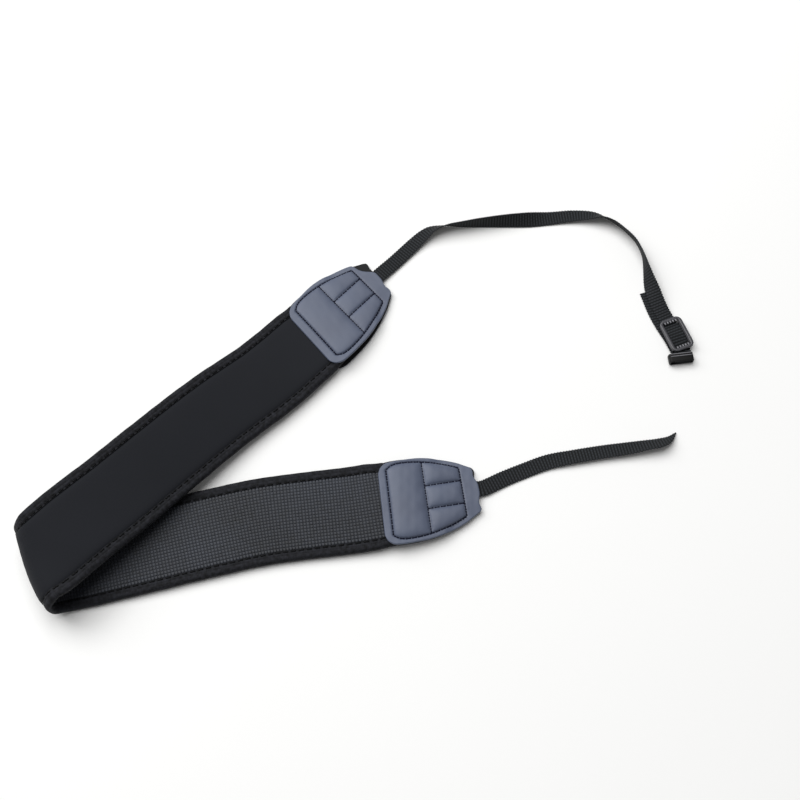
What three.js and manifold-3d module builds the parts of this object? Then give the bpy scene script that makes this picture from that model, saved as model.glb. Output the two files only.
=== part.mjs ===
// A padded neck strap for binoculars, laid on a table and folded over into a V.
// The neoprene band has a grip lining inside, bound edges and a leather shield on both faces of each end.
// Narrow webbing leaves each shield: one runs through a slide buckle and a keeper, the other is a free end.
// Millimetres, +Z up, the table at Z = 0, the origin under the middle of the strap's box.

import * as THREE from 'three';
import { mergeVertices } from 'three/addons/utils/BufferGeometryUtils.js';
import Module from 'manifold-3d';

const wasm = await Module();
wasm.setup();

// The band: its width over the bound edges, and its layers measured from the middle surface.
// Outer means the smooth face, inner means the face with the grip.
const BAND_WIDTH = 55;
const OUTER_CROWN = 2.75;
const OUTER_SHOULDER = 2.35;
const LINING_CROWN = 2.6;
const LINING_SHOULDER = 2.3;
const LINING_THICKNESS = 1.0;
const CROWN_HALF_WIDTH = 7;
const SEAM_GAP = 0.3;

// How the band gives at the fold: it swells out at FOLD_CREST, its edges are drawn in,
// and on the far edge the fold lies FOLD_SKEW nearer to the buckle end.
const FOLD_SWELL = 1.7;
const FOLD_CREST = -4;
const FOLD_HALF_WIDTH = 20;
const FOLD_SKEW = 9;
const FOLD_REACH = 9;

// The tape folded round each long edge.
const BINDING_WALL = 1.0;
const BINDING_WIDTH = 6.3;
const BINDING_OUTER = 2.6;
const BINDING_INNER = 2.4;
const BINDING_ROUND = 0.9;

// The leather shields: the stitch lines are measured from the edge that crosses the band.
const TAB_LENGTH = 61;
const TAB_LEATHER = 1.2;
const TAB_GAP = 0.3;
const TAB_PUFF = 0.9;
const PUFF_REACH = 6;
const BASE_STITCH = 4.8;
const CROSS_STITCH = 27.4;
const END_STITCH = 50.5;
const BORDER_INSET = 3.2;
const CHANNEL_HALF_WIDTH = 7.75;
const BAND_UNDER_TAB = 34;
const RIM_PINCHED_FROM = 40.5;
const MOUTH_BULGE = 1.2;
const MOUTH_NOTCH = 1.0;

// How the shields are sewn on: where the band edge, the three stitch lines and the mouth of each one lie
// along the strap, how far a line runs on per millimetre across, and how far the upper ones lie off centre.
const TAB_A_LINES = [-4.2, 2.1, 25.7, 50.8, 60.8];
const TAB_B_LINES = [0, 5.1, 27.7, 50.7, 60.2];
const TAB_A_SLANT = -0.105;
const TAB_B_SLANT = -0.045;
const UPPER_TAB_OFFSET = 0.4;

// Outline of a shield and how far the band under it is squeezed, from the band edge to the webbing end.
const TAB_ROWS = [
  { along: 0, halfWidth: 21.5, squeeze: 1.0 },
  { along: 1.6, halfWidth: 25.0, squeeze: 1.0 },
  { along: BASE_STITCH, halfWidth: 26.5, squeeze: 0.97 },
  { along: 12, halfWidth: 26.9, squeeze: 0.9 },
  { along: 20, halfWidth: 26.7, squeeze: 0.77 },
  { along: CROSS_STITCH, halfWidth: 26.1, squeeze: 0.62 },
  { along: 35, halfWidth: 24.6, squeeze: 0.5 },
  { along: 43, halfWidth: 22.2, squeeze: 0.28 },
  { along: END_STITCH, halfWidth: 19.2, squeeze: 0.2 },
  { along: 56, halfWidth: 16.4, squeeze: 0.2 },
  { along: TAB_LENGTH, halfWidth: 14.0, squeeze: 0.2 },
];

// Distances from the band edge at which the leather is shaped; each stitch line is one of them.
const SHIELD_STATIONS = [
  0, 1.6, BASE_STITCH, 10, 16, 22, CROSS_STITCH, 33, 39, 45, END_STITCH, 55.5, TAB_LENGTH,
];

// The webbing, and the slanted cut of its free end.
const WEBBING_WIDTH = 10;
const WEBBING_THICKNESS = 1.1;
const WEBBING_ROUND = 0.3;
const TIP_CUT = 16;
const TIP_WIDTH = 0.7;

// The slide buckle, its end bars over the webbing and its middle bar under it, between deep side rails.
const BUCKLE_CENTRE = { x: 201.1, y: 47.0 };
const BUCKLE_HEADING = -68.5;
const BUCKLE_WIDTH = 15.6;
const BUCKLE_LENGTH = 23.5;
const BUCKLE_CORNER = 4;
const BUCKLE_BAR = 2.2;
const BUCKLE_SIDE_BAR = 2.4;
const BUCKLE_BOTTOM = 3.65;
const BUCKLE_TOP = 5.4;
const MIDDLE_BAR_BOTTOM = 2.3;
const MIDDLE_BAR_TOP = 3.4;
const SIDE_RAIL_LENGTH = 19.4;
const SIDE_RAIL_BOTTOM = 2.0;
const MOULDED_EDGE = 0.4;
const EDGE_STEPS = 2;
const CORNER_STEPS = 4;

// The keeper loop round the doubled webbing.
const KEEPER_CENTRE = { x: 202.7, y: 30.5 };
const KEEPER_HEADING = -83;
const KEEPER_WIDTH = 16;
const KEEPER_LENGTH = 5.8;
const KEEPER_HEIGHT = 5.4;
const KEEPER_WALL = 1.2;
const KEEPER_SIDE = 1.0;
const KEEPER_CORNER = 1.6;

// The route of the strap's middle line, from the cut tail to the free tip.
// Its plan is measured from a mark on the table; the origin of the part is at ORIGIN_MARK on that plan.
// Side is the plan heading of the edge that lies towards the viewer, in degrees.
// Roll lifts that edge from level, in degrees: at 90 the strap stands on edge, at 180 it lies turned over.
const ORIGIN_MARK = { x: 1.0, y: 2.8 };
const BUCKLE_END_ROUTE = [
  { x: 185.4, y: 79.6, z: 0.6, side: -161, roll: 360 },
  { x: 189.6, y: 64.7, z: 0.75, side: -159, roll: 360 },
  { x: 193.4, y: 55.2, z: 0.95, side: -156, roll: 360 },
  { x: 198.1, y: 45.8, z: 1.05, side: -156, roll: 360 },
  { x: 201.6, y: 37.2, z: 1.15, side: -156, roll: 360 },
  { x: 203.0, y: 33.6, z: 1.95, side: -163, roll: 360 },
  { x: 203.8, y: 30.2, z: 2.0, side: -174, roll: 360 },
  { x: 203.95, y: 28.4, z: 2.0, side: -176, roll: 360 },
  { x: 204.0, y: 27.7, z: 2.7, side: -176, roll: 360 },
  { x: 203.95, y: 28.4, z: 3.4, side: -176, roll: 360 },
  { x: 203.9, y: 30.4, z: 3.4, side: -176, roll: 360 },
  { x: 204.0, y: 33.7, z: 3.35, side: -174, roll: 360 },
  { x: 204.6, y: 37.1, z: 2.45, side: -163, roll: 360 },
  { x: 202.8, y: 42.3, z: 3.6, side: -158.5, roll: 360 },
  { x: 201.1, y: 47.0, z: 4.2, side: -158.5, roll: 360 },
  { x: 199.2, y: 51.7, z: 3.6, side: -158.5, roll: 360 },
  { x: 197.1, y: 56.7, z: 2.45, side: -158.5, roll: 360 },
  { x: 194.3, y: 62.8, z: 2.25, side: -160, roll: 358 },
  { x: 191.4, y: 69.8, z: 2.85, side: -163, roll: 350 },
  { x: 188.6, y: 78.2, z: 4.0, side: -165, roll: 335 },
  { x: 186.8, y: 85.8, z: 4.4, side: -167, roll: 307 },
  { x: 185.3, y: 95.4, z: 5.1, side: -168, roll: 280 },
  { x: 183.6, y: 106.8, z: 5.1, side: -162, roll: 260 },
  { x: 179.8, y: 116.7, z: 5.05, side: -148, roll: 254 },
  { x: 173.6, y: 124.6, z: 5.0, side: -130, roll: 250 },
  { x: 166.6, y: 131.0, z: 5.0, side: -118, roll: 248 },
  { x: 159.8, y: 135.0, z: 4.6, side: -104, roll: 237 },
  { x: 152.0, y: 137.2, z: 3.05, side: -95, roll: 209 },
  { x: 138.6, y: 137.6, z: 1.6, side: -88, roll: 191 },
  { x: 122.0, y: 135.8, z: 1.05, side: -84, roll: 176 },
  { x: 105.4, y: 133.2, z: 3.7, side: -83, roll: 140 },
  { x: 88.0, y: 131.4, z: 4.85, side: -84, roll: 115 },
  { x: 73.0, y: 130.0, z: 5.1, side: -85, roll: 96 },
  { x: 61.5, y: 128.9, z: 5.1, side: -84, roll: 80 },
  { x: 52.9, y: 128.4, z: 4.8, side: -78, roll: 64 },
  { x: 43.0, y: 126.0, z: 4.0, side: -58, roll: 40 },
  { x: 37.4, y: 122.3, z: 2.75, side: -48, roll: 22 },
  { x: 30.5, y: 115.6, z: 1.75, side: -44, roll: 8 },
  { x: 18.2, y: 102.6, z: 1.5, side: -44, roll: 0 },
];

const BAND_ROUTE = [
  { x: 5.7, y: 90.1, z: 2.3, side: -44, roll: 0 },
  { x: -14.4, y: 67.9, z: 3.5, side: -44, roll: 0 },
  { x: -34.9, y: 45.3, z: 4.55, side: -45, roll: 0 },
  { x: -62.3, y: 17.4, z: 6.0, side: -46, roll: -3 },
  { x: -93.3, y: -9.6, z: 9.5, side: -47, roll: -8 },
  { x: -121.8, y: -37.9, z: 14.3, side: -47, roll: -10 },
  { x: -149.4, y: -66.5, z: 19.5, side: -47, roll: -10 },
  { x: -170.0, y: -86.9, z: 23.5, side: -48, roll: -9 },
  { x: -184.3, y: -101.8, z: 25.0, side: -54, roll: -6 },
  { x: -192.0, y: -108.2, z: 21.6, side: -60, roll: 2 },
  { x: -194.9, y: -111.6, z: 13.7, side: -66, roll: 8 },
  { x: -191.3, y: -111.0, z: 6.0, side: -70, roll: 6 },
  { x: -182.5, y: -107.5, z: 3.2, side: -75, roll: 1 },
  { x: -168.0, y: -104.0, z: 2.82, side: -76, roll: 0 },
  { x: -154.0, y: -100.5, z: 2.76, side: -76, roll: 0 },
  { x: -124.0, y: -93.0, z: 2.76, side: -76, roll: 0 },
  { x: -93.7, y: -85.4, z: 2.76, side: -76.5, roll: 0 },
  { x: -63.0, y: -78.5, z: 2.76, side: -79, roll: 0 },
  { x: -31.5, y: -74.1, z: 2.87, side: -82, roll: 0 },
  { x: -8.0, y: -71.3, z: 3.5, side: -82, roll: 0 },
  { x: 10.3, y: -68.5, z: 4.5, side: -81, roll: 0 },
  { x: 40.0, y: -63.4, z: 3.4, side: -80.5, roll: 0 },
  { x: 69.5, y: -57.7, z: 2.25, side: -79.5, roll: 0 },
];

const FREE_END_ROUTE = [
  { x: 72.6, y: -57.0, z: 1.95, side: -77, roll: 0 },
  { x: 77.5, y: -54.7, z: 1.5, side: -66, roll: 0 },
  { x: 85.0, y: -51.0, z: 1.1, side: -65, roll: 0 },
  { x: 98.0, y: -45.5, z: 0.75, side: -67, roll: 2 },
  { x: 113.5, y: -39.7, z: 1.1, side: -71, roll: 6 },
  { x: 128.5, y: -36.7, z: 1.75, side: -79, roll: 13 },
  { x: 148.5, y: -33.3, z: 2.1, side: -81, roll: 17 },
  { x: 165.0, y: -31.0, z: 2.55, side: -81, roll: 23 },
  { x: 176.0, y: -29.2, z: 3.25, side: -80, roll: 34 },
  { x: 184.0, y: -28.0, z: 3.5, side: -76, roll: 37 },
  { x: 191.3, y: -26.4, z: 3.5, side: -70, roll: 37 },
  { x: 196.9, y: -23.6, z: 3.5, side: -62, roll: 37 },
];

const STRAP_ROUTE = [...BUCKLE_END_ROUTE, ...BAND_ROUTE, ...FREE_END_ROUTE];
const TAB_A_EXIT_ROW = BUCKLE_END_ROUTE.length;
const TAB_B_EXIT_ROW = TAB_A_EXIT_ROW + BAND_ROUTE.length - 1;
const FOLD_ROW = TAB_A_EXIT_ROW + 10;

// Steps between two route rows when the route is measured, and when a piece is swept along it.
const MEASURE_STEPS_PER_ROW = 50;
const BAND_STEPS_PER_ROW = 3;
const WEBBING_STEPS_PER_ROW = 2;

// Finishes of the pieces.
const neopreneJersey = { color: 0x26282d, roughness: 0.85, metalness: 0 };
const gripRubber = { color: 0x3f4249, roughness: 0.7, metalness: 0 };
const bindingTape = { color: 0x1d1f23, roughness: 0.8, metalness: 0 };
const greyLeather = { color: 0x666b79, roughness: 0.55, metalness: 0 };
const blackWebbing = { color: 0x222426, roughness: 0.9, metalness: 0 };
const blackNylon = { color: 0x2b2b2e, roughness: 0.4, metalness: 0 };

// The strap's middle line with its width direction.
// A place on the strap is given flat: along the line, across the width, and out from the middle surface.
const middleLine = new THREE.CatmullRomCurve3(
  STRAP_ROUTE.map((row) => new THREE.Vector3(row.x - ORIGIN_MARK.x, row.y - ORIGIN_MARK.y, row.z)),
);
middleLine.arcLengthDivisions = STRAP_ROUTE.length * MEASURE_STEPS_PER_ROW;
const turnLine = new THREE.CatmullRomCurve3(
  STRAP_ROUTE.map((row) => new THREE.Vector3(row.side, row.roll, 0)),
  false,
  'catmullrom',
);
const lineLengths = middleLine.getLengths();
const STRAP_LENGTH = middleLine.getLength();
const LAST_ROW = STRAP_ROUTE.length - 1;

// Length along the strap at a route row, whole or in part.
function lengthAtRow(row) {
  const division = (row / LAST_ROW) * middleLine.arcLengthDivisions;
  const whole = Math.floor(division);
  const next = Math.min(whole + 1, middleLine.arcLengthDivisions);
  return THREE.MathUtils.lerp(lineLengths[whole], lineLengths[next], division - whole);
}

function rowAtLength(along) {
  return middleLine.getUtoTmapping(along / STRAP_LENGTH) * LAST_ROW;
}

const FOLD_LENGTH = lengthAtRow(FOLD_ROW);

// How far the band swells out at the fold; less than nothing where its edges are drawn in.
function foldLift(along, across) {
  const fromNearEdge = (BAND_WIDTH / 2 - across) / BAND_WIDTH;
  const fromFold = (along - FOLD_LENGTH + FOLD_SKEW * fromNearEdge ** 2) / FOLD_REACH;
  const fromCrest = (across - FOLD_CREST) / FOLD_HALF_WIDTH;
  return FOLD_SWELL * (1 - fromCrest ** 2) * Math.exp(-(fromFold ** 2));
}

function onStrap(along, across, out) {
  const share = rowAtLength(along) / LAST_ROW;
  const tangent = middleLine.getTangent(share);
  const turn = turnLine.getPoint(share);
  const side = THREE.MathUtils.degToRad(turn.x);
  const roll = THREE.MathUtils.degToRad(turn.y);
  const width = new THREE.Vector3(
    Math.cos(side) * Math.cos(roll),
    Math.sin(side) * Math.cos(roll),
    Math.sin(roll),
  );
  width.addScaledVector(tangent, -width.dot(tangent)).normalize();
  const outward = new THREE.Vector3().crossVectors(tangent, width);
  const lifted = out + foldLift(along, across);
  return middleLine.getPoint(share).addScaledVector(width, across).addScaledVector(outward, lifted);
}

// Closed geometry from points and triangles, turned so that its faces point out.
function closedGeometry(points, triangles) {
  const volume = triangles.reduce(
    (sum, [a, b, c]) => sum + points[a].dot(new THREE.Vector3().crossVectors(points[b], points[c])),
    0,
  );
  const facing = volume > 0 ? triangles : triangles.map(([a, b, c]) => [a, c, b]);
  const geometry = new THREE.BufferGeometry().setFromPoints(points);
  geometry.setIndex(facing.flat());
  geometry.computeVertexNormals();
  return geometry;
}

// A section carried along the strap: sectionAt gives its outline as [across, out] pairs at each length.
// Each four-sided patch is split from its lower to its higher width, so that layers lie parallel.
function sweptAlongStrap(lengths, sectionAt) {
  const sections = lengths.map(sectionAt);
  const sides = sections[0].length;
  const points = sections.flatMap((section, i) => section.map(([w, n]) => onStrap(lengths[i], w, n)));
  const triangles = [];
  for (let i = 0; i + 1 < sections.length; i += 1) {
    for (let j = 0; j < sides; j += 1) {
      const next = (j + 1) % sides;
      const here = i * sides;
      const there = here + sides;
      if (sections[i][next][0] > sections[i][j][0]) {
        triangles.push([here + j, here + next, there + next], [here + j, there + next, there + j]);
      } else {
        triangles.push([here + j, here + next, there + j], [here + next, there + next, there + j]);
      }
    }
  }
  const capAt = (index) => THREE.ShapeUtils.triangulateShape(
    sections[index].map(([w, n]) => new THREE.Vector2(w, n)),
    [],
  );
  const lastRing = (sections.length - 1) * sides;
  capAt(0).forEach(([a, b, c]) => triangles.push([a, c, b]));
  capAt(sections.length - 1).forEach(([a, b, c]) => {
    triangles.push([lastRing + a, lastRing + b, lastRing + c]);
  });
  return closedGeometry(points, triangles);
}

// Lengths for a sweep: even steps between route rows, with both ends exact.
function sweepLengths(from, to, stepsPerRow) {
  const first = rowAtLength(from);
  const last = rowAtLength(to);
  const steps = Math.ceil((last - first) * stepsPerRow);
  return Array.from({ length: steps + 1 }, (_, k) => {
    if (k === 0) return from;
    if (k === steps) return to;
    return lengthAtRow(THREE.MathUtils.lerp(first, last, k / steps));
  });
}

// The shield's outline and the band's squeeze at a distance from the shield's band edge.
function tabRow(along) {
  const at = THREE.MathUtils.clamp(along, 0, TAB_LENGTH);
  const index = Math.max(1, TAB_ROWS.findIndex((row) => row.along >= at));
  const before = TAB_ROWS[index - 1];
  const after = TAB_ROWS[index];
  const share = (at - before.along) / (after.along - before.along);
  return {
    halfWidth: THREE.MathUtils.lerp(before.halfWidth, after.halfWidth, share),
    squeeze: THREE.MathUtils.lerp(before.squeeze, after.squeeze, share),
  };
}

const TAB_A_BASE = lengthAtRow(TAB_A_EXIT_ROW) + TAB_LENGTH;
const TAB_B_BASE = lengthAtRow(TAB_B_EXIT_ROW) - TAB_LENGTH;

// The band keeps its full width between the shields and follows their outline under them.
function bandAt(along) {
  const underTab = Math.max(TAB_A_BASE - along, along - TAB_B_BASE);
  if (underTab <= 0) return { halfWidth: BAND_WIDTH / 2, squeeze: 1 };
  const outline = tabRow(underTab);
  const halfWidth = underTab < BASE_STITCH ? BAND_WIDTH / 2 : outline.halfWidth;
  return { halfWidth, squeeze: outline.squeeze };
}

function squeezed(outline, squeeze) {
  return outline.map(([across, out]) => [across, out * squeeze]);
}

function padSection(along) {
  const { halfWidth, squeeze } = bandAt(along);
  const edge = halfWidth - BINDING_WALL - SEAM_GAP;
  const shoulder = halfWidth - BINDING_WIDTH - SEAM_GAP;
  const shoulderTop = shoulder - BINDING_ROUND / 2;
  const back = LINING_SHOULDER - LINING_THICKNESS - SEAM_GAP;
  const rim = BINDING_OUTER - BINDING_WALL - SEAM_GAP;
  return squeezed([
    [-edge, -back], [-shoulder, -back], [-CROWN_HALF_WIDTH, -back],
    [CROWN_HALF_WIDTH, -back], [shoulder, -back], [edge, -back],
    [edge, rim], [shoulder, rim], [shoulderTop, OUTER_SHOULDER], [CROWN_HALF_WIDTH, OUTER_CROWN],
    [-CROWN_HALF_WIDTH, OUTER_CROWN], [-shoulderTop, OUTER_SHOULDER], [-shoulder, rim], [-edge, rim],
  ], squeeze);
}

function liningSection(along) {
  const { halfWidth, squeeze } = bandAt(along);
  const edge = halfWidth - BINDING_WIDTH - 2 * SEAM_GAP;
  const back = LINING_SHOULDER - LINING_THICKNESS;
  return squeezed([
    [-edge, -LINING_SHOULDER], [-CROWN_HALF_WIDTH, -LINING_CROWN],
    [CROWN_HALF_WIDTH, -LINING_CROWN], [edge, -LINING_SHOULDER],
    [edge, -back], [CROWN_HALF_WIDTH, -back], [-CROWN_HALF_WIDTH, -back], [-edge, -back],
  ], squeeze);
}

// The tape's section on the edge towards the viewer; the far edge takes its mirror image.
function bindingSection(along, edgeSign) {
  const { halfWidth, squeeze } = bandAt(along);
  const flange = halfWidth - BINDING_WIDTH;
  const inside = halfWidth - BINDING_WALL;
  const innerFace = -BINDING_INNER + BINDING_WALL;
  const outerFace = BINDING_OUTER - BINDING_WALL;
  const near = [
    [flange, -BINDING_INNER], [halfWidth - 2 * BINDING_ROUND, -BINDING_INNER],
    [halfWidth - BINDING_ROUND / 2, -BINDING_INNER + BINDING_ROUND / 2],
    [halfWidth, -BINDING_INNER + 2 * BINDING_ROUND],
    [halfWidth, BINDING_OUTER - 2 * BINDING_ROUND],
    [halfWidth - BINDING_ROUND / 2, BINDING_OUTER - BINDING_ROUND / 2],
    [halfWidth - 2 * BINDING_ROUND, BINDING_OUTER], [flange, BINDING_OUTER],
    [flange, outerFace], [inside, outerFace], [inside, innerFace], [flange, innerFace],
  ];
  const outline = edgeSign > 0 ? near : near.map(([across, out]) => [-across, out]).reverse();
  return squeezed(outline, squeeze);
}

function webbingSection(nearEdge, farEdge) {
  const half = WEBBING_THICKNESS / 2;
  const flat = half - WEBBING_ROUND;
  return [
    [farEdge, -flat], [farEdge + WEBBING_ROUND, -half],
    [nearEdge - WEBBING_ROUND, -half], [nearEdge, -flat],
    [nearEdge, flat], [nearEdge - WEBBING_ROUND, half],
    [farEdge + WEBBING_ROUND, half], [farEdge, flat],
  ];
}

// How far a place on a shield lies from the nearest line of stitches.
function stitchDistance(along, across) {
  const border = tabRow(along).halfWidth - BORDER_INSET;
  const distances = [BASE_STITCH, CROSS_STITCH, END_STITCH].map((line) => Math.abs(along - line));
  distances.push(Math.abs(Math.abs(across) - border));
  if (along > CROSS_STITCH && along < END_STITCH) {
    distances.push(Math.abs(Math.abs(across) - CHANNEL_HALF_WIDTH));
  }
  return Math.min(...distances);
}

// Stuffed height of the leather between its stitch lines.
function puffAt(along, across) {
  const inside = along > BASE_STITCH && along < END_STITCH
    && Math.abs(across) < tabRow(along).halfWidth - BORDER_INSET;
  if (!inside) return 0;
  const rise = Math.min(1, stitchDistance(along, across) / PUFF_REACH);
  return TAB_PUFF * Math.sin((rise * Math.PI) / 2);
}

// Distance along the strap from the nominal band edge, for a place on a shield's own pattern.
function sewnAt(shield, along, across) {
  const pattern = [0, BASE_STITCH, CROSS_STITCH, END_STITCH, TAB_LENGTH];
  const next = Math.max(1, pattern.findIndex((line) => line >= along));
  const share = (along - pattern[next - 1]) / (pattern[next] - pattern[next - 1]);
  return THREE.MathUtils.lerp(shield.lines[next - 1], shield.lines[next], share) + shield.slant * across;
}

// Underside of the leather above the middle surface: over the band, over the webbing, and pinched at the rim.
function leatherUnderside(shield, along, across) {
  const distance = sewnAt(shield, along, across);
  const overBand = OUTER_CROWN * tabRow(distance).squeeze + TAB_GAP;
  const overWebbing = Math.abs(across) < CHANNEL_HALF_WIDTH ? WEBBING_THICKNESS / 2 + TAB_GAP : 0;
  const pinched = distance > RIM_PINCHED_FROM && Math.abs(across) > tabRow(along).halfWidth - BORDER_INSET;
  return Math.max(pinched ? TAB_GAP / 2 : overBand, overWebbing);
}

// The end edge of a shield bulges over the webbing and is notched on both sides of it.
function mouthReach(across) {
  if (across < CHANNEL_HALF_WIDTH) return MOUTH_BULGE;
  return across < tabRow(TAB_LENGTH).halfWidth ? -MOUTH_NOTCH : 0;
}

// One leather shield. Face is 1 for the smooth side of the band and -1 for the grip side.
// The shield underneath is pressed flat, so it has no puff.
function leatherShield(shield, face, upper) {
  const offset = upper ? UPPER_TAB_OFFSET : 0;
  const columns = SHIELD_STATIONS.map((along) => {
    const edge = tabRow(along).halfWidth;
    const border = edge - BORDER_INSET;
    const between = (border + CHANNEL_HALF_WIDTH) / 2;
    const half = [CHANNEL_HALF_WIDTH / 2, CHANNEL_HALF_WIDTH, between, border, edge];
    return [...half.map((across) => -across).reverse(), 0, ...half];
  });
  const across = columns[0].length;
  const points = [];
  const placed = (along, w, n) => {
    const end = along === TAB_LENGTH ? mouthReach(Math.abs(w)) : 0;
    const distance = sewnAt(shield, along, w) + end;
    return onStrap(shield.base + shield.towardsWebbing * distance, w + offset, face * n);
  };
  SHIELD_STATIONS.forEach((along, i) => columns[i].forEach((w) => {
    const top = leatherUnderside(shield, along, w) + TAB_LEATHER + (upper ? puffAt(along, w) : 0);
    points.push(placed(along, w, top));
  }));
  const under = points.length;
  SHIELD_STATIONS.forEach((along, i) => columns[i].forEach((w) => {
    points.push(placed(along, w, leatherUnderside(shield, along, w)));
  }));
  const triangles = [];
  const quad = (a, b, c, d) => triangles.push([a, b, c], [a, c, d]);
  const at = (i, j) => i * across + j;
  const lastRow = SHIELD_STATIONS.length - 1;
  const lastColumn = across - 1;
  for (let i = 0; i < lastRow; i += 1) {
    for (let j = 0; j < lastColumn; j += 1) {
      quad(at(i, j), at(i + 1, j), at(i + 1, j + 1), at(i, j + 1));
      quad(under + at(i, j), under + at(i, j + 1), under + at(i + 1, j + 1), under + at(i + 1, j));
    }
    quad(at(i, 0), under + at(i, 0), under + at(i + 1, 0), at(i + 1, 0));
    quad(at(i + 1, lastColumn), under + at(i + 1, lastColumn), under + at(i, lastColumn), at(i, lastColumn));
  }
  for (let j = 0; j < lastColumn; j += 1) {
    quad(at(0, j + 1), under + at(0, j + 1), under + at(0, j), at(0, j));
    quad(at(lastRow, j), under + at(lastRow, j), under + at(lastRow, j + 1), at(lastRow, j + 1));
  }
  return closedGeometry(points, triangles);
}

function roundedRectangle(width, height, corner, target = new THREE.Shape()) {
  const x = width / 2;
  const y = height / 2;
  target.moveTo(x, -y + corner);
  target.lineTo(x, y - corner);
  target.absarc(x - corner, y - corner, corner, 0, Math.PI / 2);
  target.lineTo(-x + corner, y);
  target.absarc(-x + corner, y - corner, corner, Math.PI / 2, Math.PI);
  target.lineTo(-x, -y + corner);
  target.absarc(-x + corner, -y + corner, corner, Math.PI, 1.5 * Math.PI);
  target.lineTo(x - corner, -y);
  target.absarc(x - corner, -y + corner, corner, 1.5 * Math.PI, 2 * Math.PI);
  return target;
}

// A moulded ring: a rounded rectangle with a window, its edges eased.
function mouldedRing(outer, window, depth) {
  const shape = roundedRectangle(outer.width, outer.height, outer.corner);
  shape.holes.push(roundedRectangle(window.width, window.height, window.corner, new THREE.Path()));
  return new THREE.ExtrudeGeometry(shape, {
    depth: depth - 2 * MOULDED_EDGE,
    bevelThickness: MOULDED_EDGE,
    bevelSize: MOULDED_EDGE,
    bevelOffset: -MOULDED_EDGE,
    bevelSegments: EDGE_STEPS,
    curveSegments: CORNER_STEPS,
  }).translate(0, 0, MOULDED_EDGE);
}

function solidOf(geometry) {
  const bare = geometry.index ? geometry.toNonIndexed() : geometry.clone();
  bare.deleteAttribute('normal');
  bare.deleteAttribute('uv');
  const merged = mergeVertices(bare);
  return new wasm.Manifold(new wasm.Mesh({
    numProp: 3,
    vertProperties: new Float32Array(merged.attributes.position.array),
    triVerts: new Uint32Array(merged.index.array),
  }));
}

function geometryOf(solid) {
  const { vertProperties, triVerts, numProp } = solid.getMesh();
  const geometry = new THREE.BufferGeometry();
  geometry.setAttribute('position', new THREE.BufferAttribute(vertProperties, numProp));
  geometry.setIndex(new THREE.BufferAttribute(triVerts, 1));
  geometry.computeVertexNormals();
  return geometry;
}

// The buckle's own frame: X across the webbing, Y against its run, Z up from the table.
function buckleGeometry() {
  const ring = mouldedRing(
    { width: BUCKLE_WIDTH, height: BUCKLE_LENGTH, corner: BUCKLE_CORNER },
    {
      width: BUCKLE_WIDTH - 2 * BUCKLE_SIDE_BAR,
      height: BUCKLE_LENGTH - 2 * BUCKLE_BAR,
      corner: BUCKLE_BAR / 2,
    },
    BUCKLE_TOP - BUCKLE_BOTTOM,
  ).translate(0, 0, BUCKLE_BOTTOM);
  const barHeight = MIDDLE_BAR_TOP - MIDDLE_BAR_BOTTOM;
  const barWidth = BUCKLE_WIDTH - 2 * MOULDED_EDGE;
  const bar = new THREE.BoxGeometry(barWidth, BUCKLE_BAR, barHeight)
    .translate(0, 0, MIDDLE_BAR_BOTTOM + barHeight / 2);
  const railTop = (BUCKLE_BOTTOM + BUCKLE_TOP) / 2;
  const railHeight = railTop - SIDE_RAIL_BOTTOM;
  const railWidth = BUCKLE_SIDE_BAR - 2 * MOULDED_EDGE;
  const railAcross = (barWidth - railWidth) / 2;
  const rails = [-1, 1].map((end) => new THREE.BoxGeometry(railWidth, SIDE_RAIL_LENGTH, railHeight)
    .translate(end * railAcross, 0, SIDE_RAIL_BOTTOM + railHeight / 2));
  return geometryOf([bar, ...rails].reduce((sum, piece) => sum.add(solidOf(piece)), solidOf(ring)));
}

// The keeper's own frame is the buckle's: its window faces along Y.
function keeperGeometry() {
  return mouldedRing(
    { width: KEEPER_WIDTH, height: KEEPER_HEIGHT, corner: KEEPER_CORNER },
    {
      width: KEEPER_WIDTH - 2 * KEEPER_SIDE,
      height: KEEPER_HEIGHT - 2 * KEEPER_WALL,
      corner: KEEPER_CORNER - KEEPER_WALL,
    },
    KEEPER_LENGTH,
  ).translate(0, 0, -KEEPER_LENGTH / 2).rotateX(Math.PI / 2).translate(0, 0, KEEPER_HEIGHT / 2);
}

const strap = new THREE.Group();

function addPiece(name, geometry, finish) {
  const piece = new THREE.Mesh(geometry, new THREE.MeshStandardMaterial(finish));
  piece.name = name;
  strap.add(piece);
  return piece;
}

const bandLengths = sweepLengths(
  TAB_A_BASE - BAND_UNDER_TAB,
  TAB_B_BASE + BAND_UNDER_TAB,
  BAND_STEPS_PER_ROW,
);
addPiece('neoprene_pad', sweptAlongStrap(bandLengths, padSection), neopreneJersey);
addPiece('grip_lining', sweptAlongStrap(bandLengths, liningSection), gripRubber);
addPiece('edge_binding_near', sweptAlongStrap(bandLengths, (s) => bindingSection(s, 1)), bindingTape);
addPiece('edge_binding_far', sweptAlongStrap(bandLengths, (s) => bindingSection(s, -1)), bindingTape);

const shieldsA = { base: TAB_A_BASE, towardsWebbing: -1, lines: TAB_A_LINES, slant: TAB_A_SLANT };
const shieldsB = { base: TAB_B_BASE, towardsWebbing: 1, lines: TAB_B_LINES, slant: TAB_B_SLANT };
addPiece('tab_a_outer', leatherShield(shieldsA, 1, true), greyLeather);
addPiece('tab_a_inner', leatherShield(shieldsA, -1, false), greyLeather);
addPiece('tab_b_outer', leatherShield(shieldsB, 1, false), greyLeather);
addPiece('tab_b_inner', leatherShield(shieldsB, -1, true), greyLeather);

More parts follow.
